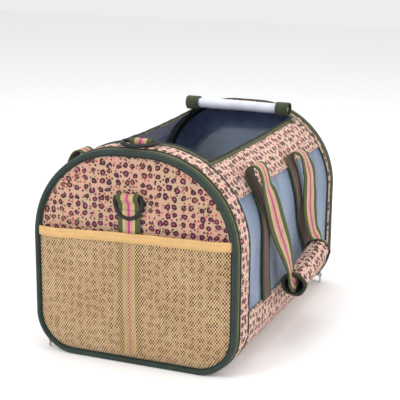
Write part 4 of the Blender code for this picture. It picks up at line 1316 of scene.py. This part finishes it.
def build_slider(label, body, pull_body):
    """Slider of two flared plates with a crown, and its wire pull with a tab."""
    joint = next(j for j in frame["record"]["behaviour"]["joints"] if j["child"] == pull_body)
    hub = Vector(joint["pos_m"])
    low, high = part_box(f"{label}_slider")
    centre = (low + high) / 2
    # The two doors' sliders stand on the outer corner of the teeth, the top one on the arch
    if label == "top_zip":
        out = Vector(section_out([tuple(centre)])[0]).normalized()
        along = Vector((0, -1, 0))
        across = out.cross(along)
    else:
        out = Vector((1 if centre.x > 0 else -1, 0, -1)).normalized()
        across = Vector(joint["axis"]).normalized()
        along = across.cross(out).normalized()
    place = placed(hub - out * CROWN_REACH, along, across, out)
    outline = [(0.0040 * x, (0.0033 - 0.0009 * x) * y) for x, y in rounded(28, 0.6)]
    # (height, share of the outline): the lower plate, the neck and the upper plate
    levels = [(0.0002, 0.90), (0.0005, 1.0), (0.0010, 1.0), (0.0013, 0.9), (0.0013, 0.62), (0.0019, 0.62)]
    levels += [(0.0019, 0.92), (0.0022, 1.0), (0.0027, 1.0), (0.0030, 0.88)]
    verts = [place @ Vector((x * k, y * k, z)) for z, k in levels for x, y in outline]
    count = len(outline)
    faces = []
    for r in range(len(levels) - 1):
        for i in range(count):
            j = (i + 1) % count
            faces.append((r * count + i, r * count + j, (r + 1) * count + j, (r + 1) * count + i))
    faces.append(tuple(range(count))[::-1])
    faces.append(tuple((len(levels) - 1) * count + i for i in range(count)))
    plates = new_object(f"{label}_slider_plates", verts, faces, [METAL], None, None, 35)
    put(plates, body, "zip_metal", f"{label}_slider")
    half = [(0.0010, 0, 0.0058), (0.0022, 0, 0.0047), (0.0026, 0, 0.0028)]
    bow = [(-x, y, z) for x, y, z in half[::-1]] + half
    line = [place @ Vector(point) for point in smooth_path(bow, 24)]
    put(tube(f"{label}_slider_crown", line, 0.0007, METAL, 10), body, "zip_metal")

    pull_low, pull_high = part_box(f"{label}_pull")
    reach = (pull_low + pull_high) / 2 - hub
    hang = (reach - across * reach.dot(across)).normalized()
    place = placed(hub, hang, across, hang.cross(across).normalized())
    eye = [(0.0024 + 0.0030 * x, 0.0025 * y, 0) for x, y in rounded(24, 1)]
    line = [place @ Vector(point) for point in eye]
    link = tube(f"{label}_pull_link", line, 0.0006, METAL, 8, True)
    put(link, pull_body, "zip_metal", f"{label}_pull")
    count = 26
    verts = []
    for z in (-0.0005, 0.0005):
        for wide, deep in ((0.0030, 0.0024), (0.0013, 0.0010)):
            verts += [place @ Vector((TAB_REACH + wide * x, deep * y, z)) for x, y in rounded(count, 0.75)]
    faces = []
    low_out, low_in, top_out, top_in = 0, count, 2 * count, 3 * count
    for i in range(count):
        j = (i + 1) % count
        faces.append((low_out + j, low_out + i, low_in + i, low_in + j))
        faces.append((top_out + i, top_out + j, top_in + j, top_in + i))
        faces.append((low_out + i, low_out + j, top_out + j, top_out + i))
        faces.append((low_in + j, low_in + i, top_in + i, top_in + j))
    tab = new_object(f"{label}_pull_tab", verts, faces, [METAL], None, None, 35)
    put(tab, pull_body, "zip_metal")


# ---------------------------------------------------------------- base

MAT_MARGIN = 0.004
QUILT_LINE = 0.09


def build_base():
    low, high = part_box("base_board")
    gx, gy = grid(np.linspace(low.x, high.x, 34), np.linspace(low.y, high.y, 50))
    away = np.minimum(np.minimum(gx - low.x, high.x - gx), np.minimum(gy - low.y, high.y - gy))
    gz = high.z - 0.0006 * np.exp(-away / 0.002) + 0.00015 * waves(gx * 30, gy * 30, 95)
    points = stack(gx, gy, gz)
    thickness = high.z - low.z - 0.0006
    board = skin("base_board_cover", points, thickness, (BOARD, BOARD, TAPE_DARK), points[:, :, :2])
    put(board, "carrier", "base_board", "base_board")
    build_mat()


def read_verts(mesh):
    flat = np.zeros(len(mesh.vertices) * 3, np.float32)
    mesh.vertices.foreach_get("co", flat)
    return flat.reshape(-1, 3)


def write_verts(mesh, verts):
    mesh.vertices.foreach_set("co", verts.astype(np.float32).ravel())
    mesh.update()


def build_mat():
    """Quilted mat, blown up as cloth by a little pressure, then sewn down along its quilting lines."""
    low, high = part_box("floor_mat")
    size, centre = high - low, (low + high) / 2
    nx, ny = 28, 56
    gx, gy = grid(np.linspace(-1, 1, nx), np.linspace(-1, 1, ny))
    tuck = (1 - np.abs(gx) ** 10) * (1 - np.abs(gy) ** 14)
    half = 0.0016 + 0.0020 * tuck
    top = stack(
        centre.x + gx * (size.x / 2 - MAT_MARGIN), centre.y + gy * (size.y / 2 - MAT_MARGIN), centre.z + half
    )
    mat = skin("floor_mat_cushion", top, 0.0, (MAT_CLOTH,) * 3, top[:, :, :2], False, False, 80)
    count = nx * ny
    flat = read_verts(mat.data)
    flat[count:, 2] = centre.z - half.ravel()
    write_verts(mat.data, flat)
    cloth = mat.modifiers.new("cloth", "CLOTH")
    cloth.settings.use_pressure = True
    cloth.settings.uniform_pressure_force = 4.0
    cloth.settings.effector_weights.gravity = 0.0
    cloth.settings.quality = 5
    cloth.settings.tension_stiffness = 30
    cloth.settings.compression_stiffness = 30
    scene = bpy.context.scene
    for step in range(1, 13):
        scene.frame_set(step)
    blown = read_verts(mat.evaluated_get(bpy.context.evaluated_depsgraph_get()).data)
    mat.modifiers.clear()
    scene.frame_set(1)
    moved = np.clip(blown - flat, -0.0035, 0.0035)
    moved[:, :2] *= 0.3
    flat = flat + moved
    # Quilting seams draw both faces together
    u, v = (np.tile((side % 1.0).ravel(), 2) for side in ((gx + 1) * 2, (gy + 1) * 4))
    seam = np.maximum(*(np.exp(-((np.minimum(side, 1 - side) / QUILT_LINE) ** 2)) for side in (u, v)))
    inside = np.tile(((np.abs(gx) < 0.95) & (np.abs(gy) < 0.97)).ravel(), 2)
    flat[:, 2] -= (flat[:, 2] - centre.z) * 0.55 * seam * inside
    flat[:, 2] = np.clip(flat[:, 2], low.z + 0.0002, high.z + 0.0012)
    write_verts(mat.data, flat)
    smooth = mat.modifiers.new("smooth", "SUBSURF")
    smooth.levels = 1
    smooth.render_levels = 1
    put(mat, "floor_mat", "mat_cloth", "floor_mat")
    wide, long = size.x / 2 - 0.003, size.y / 2 - 0.003
    corners = ((-1, -1), (1, -1), (1, 1), (-1, 1), (-1, -1))
    fine, _ = resample([(centre.x + x * wide, centre.y + y * long, centre.z) for x, y in corners], 0.004)
    trim = tube("floor_mat_piping", fine, 0.0019, TAPE_DARK, 8, True)
    put(trim, "floor_mat", "mat_cloth")


# ---------------------------------------------------------------- all pieces

for end, door in (("front", "front_door"), ("rear", "rear_door")):
    build_gusset(end)
    build_rim(end, door)
for side, label in ((1, "right"), (-1, "left")):
    build_side(side, label)
    build_handle(side, label)
build_floor_cloth()
build_front_door()
build_rear_door()
build_ring("front_ring", "front_ring", "z")
build_ring("top_ring", "top_ring", "y")
build_tab("front_ring_tab", "front_door", "front_ring", True)
build_tab("top_ring_tab", "carrier", "top_ring", False)
build_opening()
for label in ("front_zip", "rear_zip", "top_zip"):
    build_slider(label, f"{label}_slider", f"{label}_pull")
build_base()
for end in ("front", "rear"):
    wire = frame["nodes"][f"{end}_wire_hoop"]
    wire.data.materials.clear()
    wire.data.materials.append(WIRE)

# ---------------------------------------------------------------- room, light and camera


floor_mesh = bpy.data.meshes.new("floor")
floor_mesh.from_pydata([(-4, -4, 0), (4, -4, 0), (4, 4, 0), (-4, 4, 0)], [], [(0, 1, 2, 3)])
floor_mesh.materials.append(Shader("pale floor", 0.9).finish((0.93, 0.93, 0.93)))
floor = bpy.data.objects.new("pale_floor", floor_mesh)
bpy.context.scene.collection.objects.link(floor)

world = bpy.data.worlds.new("studio")
world.use_nodes = True
world.node_tree.nodes["Background"].inputs[0].default_value = (1.0, 1.0, 1.0, 1.0)
world.node_tree.nodes["Background"].inputs[1].default_value = 0.85
bpy.context.scene.world = world


def area_light(name, place, target, size, power):
    data = bpy.data.lights.new(name, "AREA")
    data.shape = "DISK"
    data.size = size
    data.energy = power
    lamp = bpy.data.objects.new(name, data)
    lamp.location = place
    lamp.rotation_euler = (Vector(target) - Vector(place)).to_track_quat("-Z", "Y").to_euler()
    bpy.context.scene.collection.objects.link(lamp)


area_light("key", (-0.9, -1.7, 1.7), (0, 0, 0.15), 1.2, 26)
area_light("side", (1.9, -0.3, 1.3), (0, 0, 0.15), 1.4, 16)
area_light("top", (0.0, 0.4, 2.0), (0, 0, 0.2), 1.4, 12)

YAW, PITCH, ROLL = math.radians(-22.18), math.radians(-14.65), math.radians(0.46)
ahead = Vector((math.sin(YAW) * math.cos(PITCH), math.cos(YAW) * math.cos(PITCH), math.sin(PITCH)))
right = Vector((math.cos(YAW), -math.sin(YAW), 0))
up = right.cross(ahead)
right, up = (
    right * math.cos(ROLL) + up * math.sin(ROLL),
    up * math.cos(ROLL) - right * math.sin(ROLL),
)
lens = bpy.data.cameras.new("camera")
lens.lens = 101.4
lens.sensor_width = 36.0
camera = bpy.data.objects.new("camera", lens)
camera.matrix_world = placed((0.5858, -1.4220, 0.5701), right, up, -ahead)
bpy.context.scene.collection.objects.link(camera)
bpy.context.scene.camera = camera
bpy.context.scene.view_settings.view_transform = "Standard"
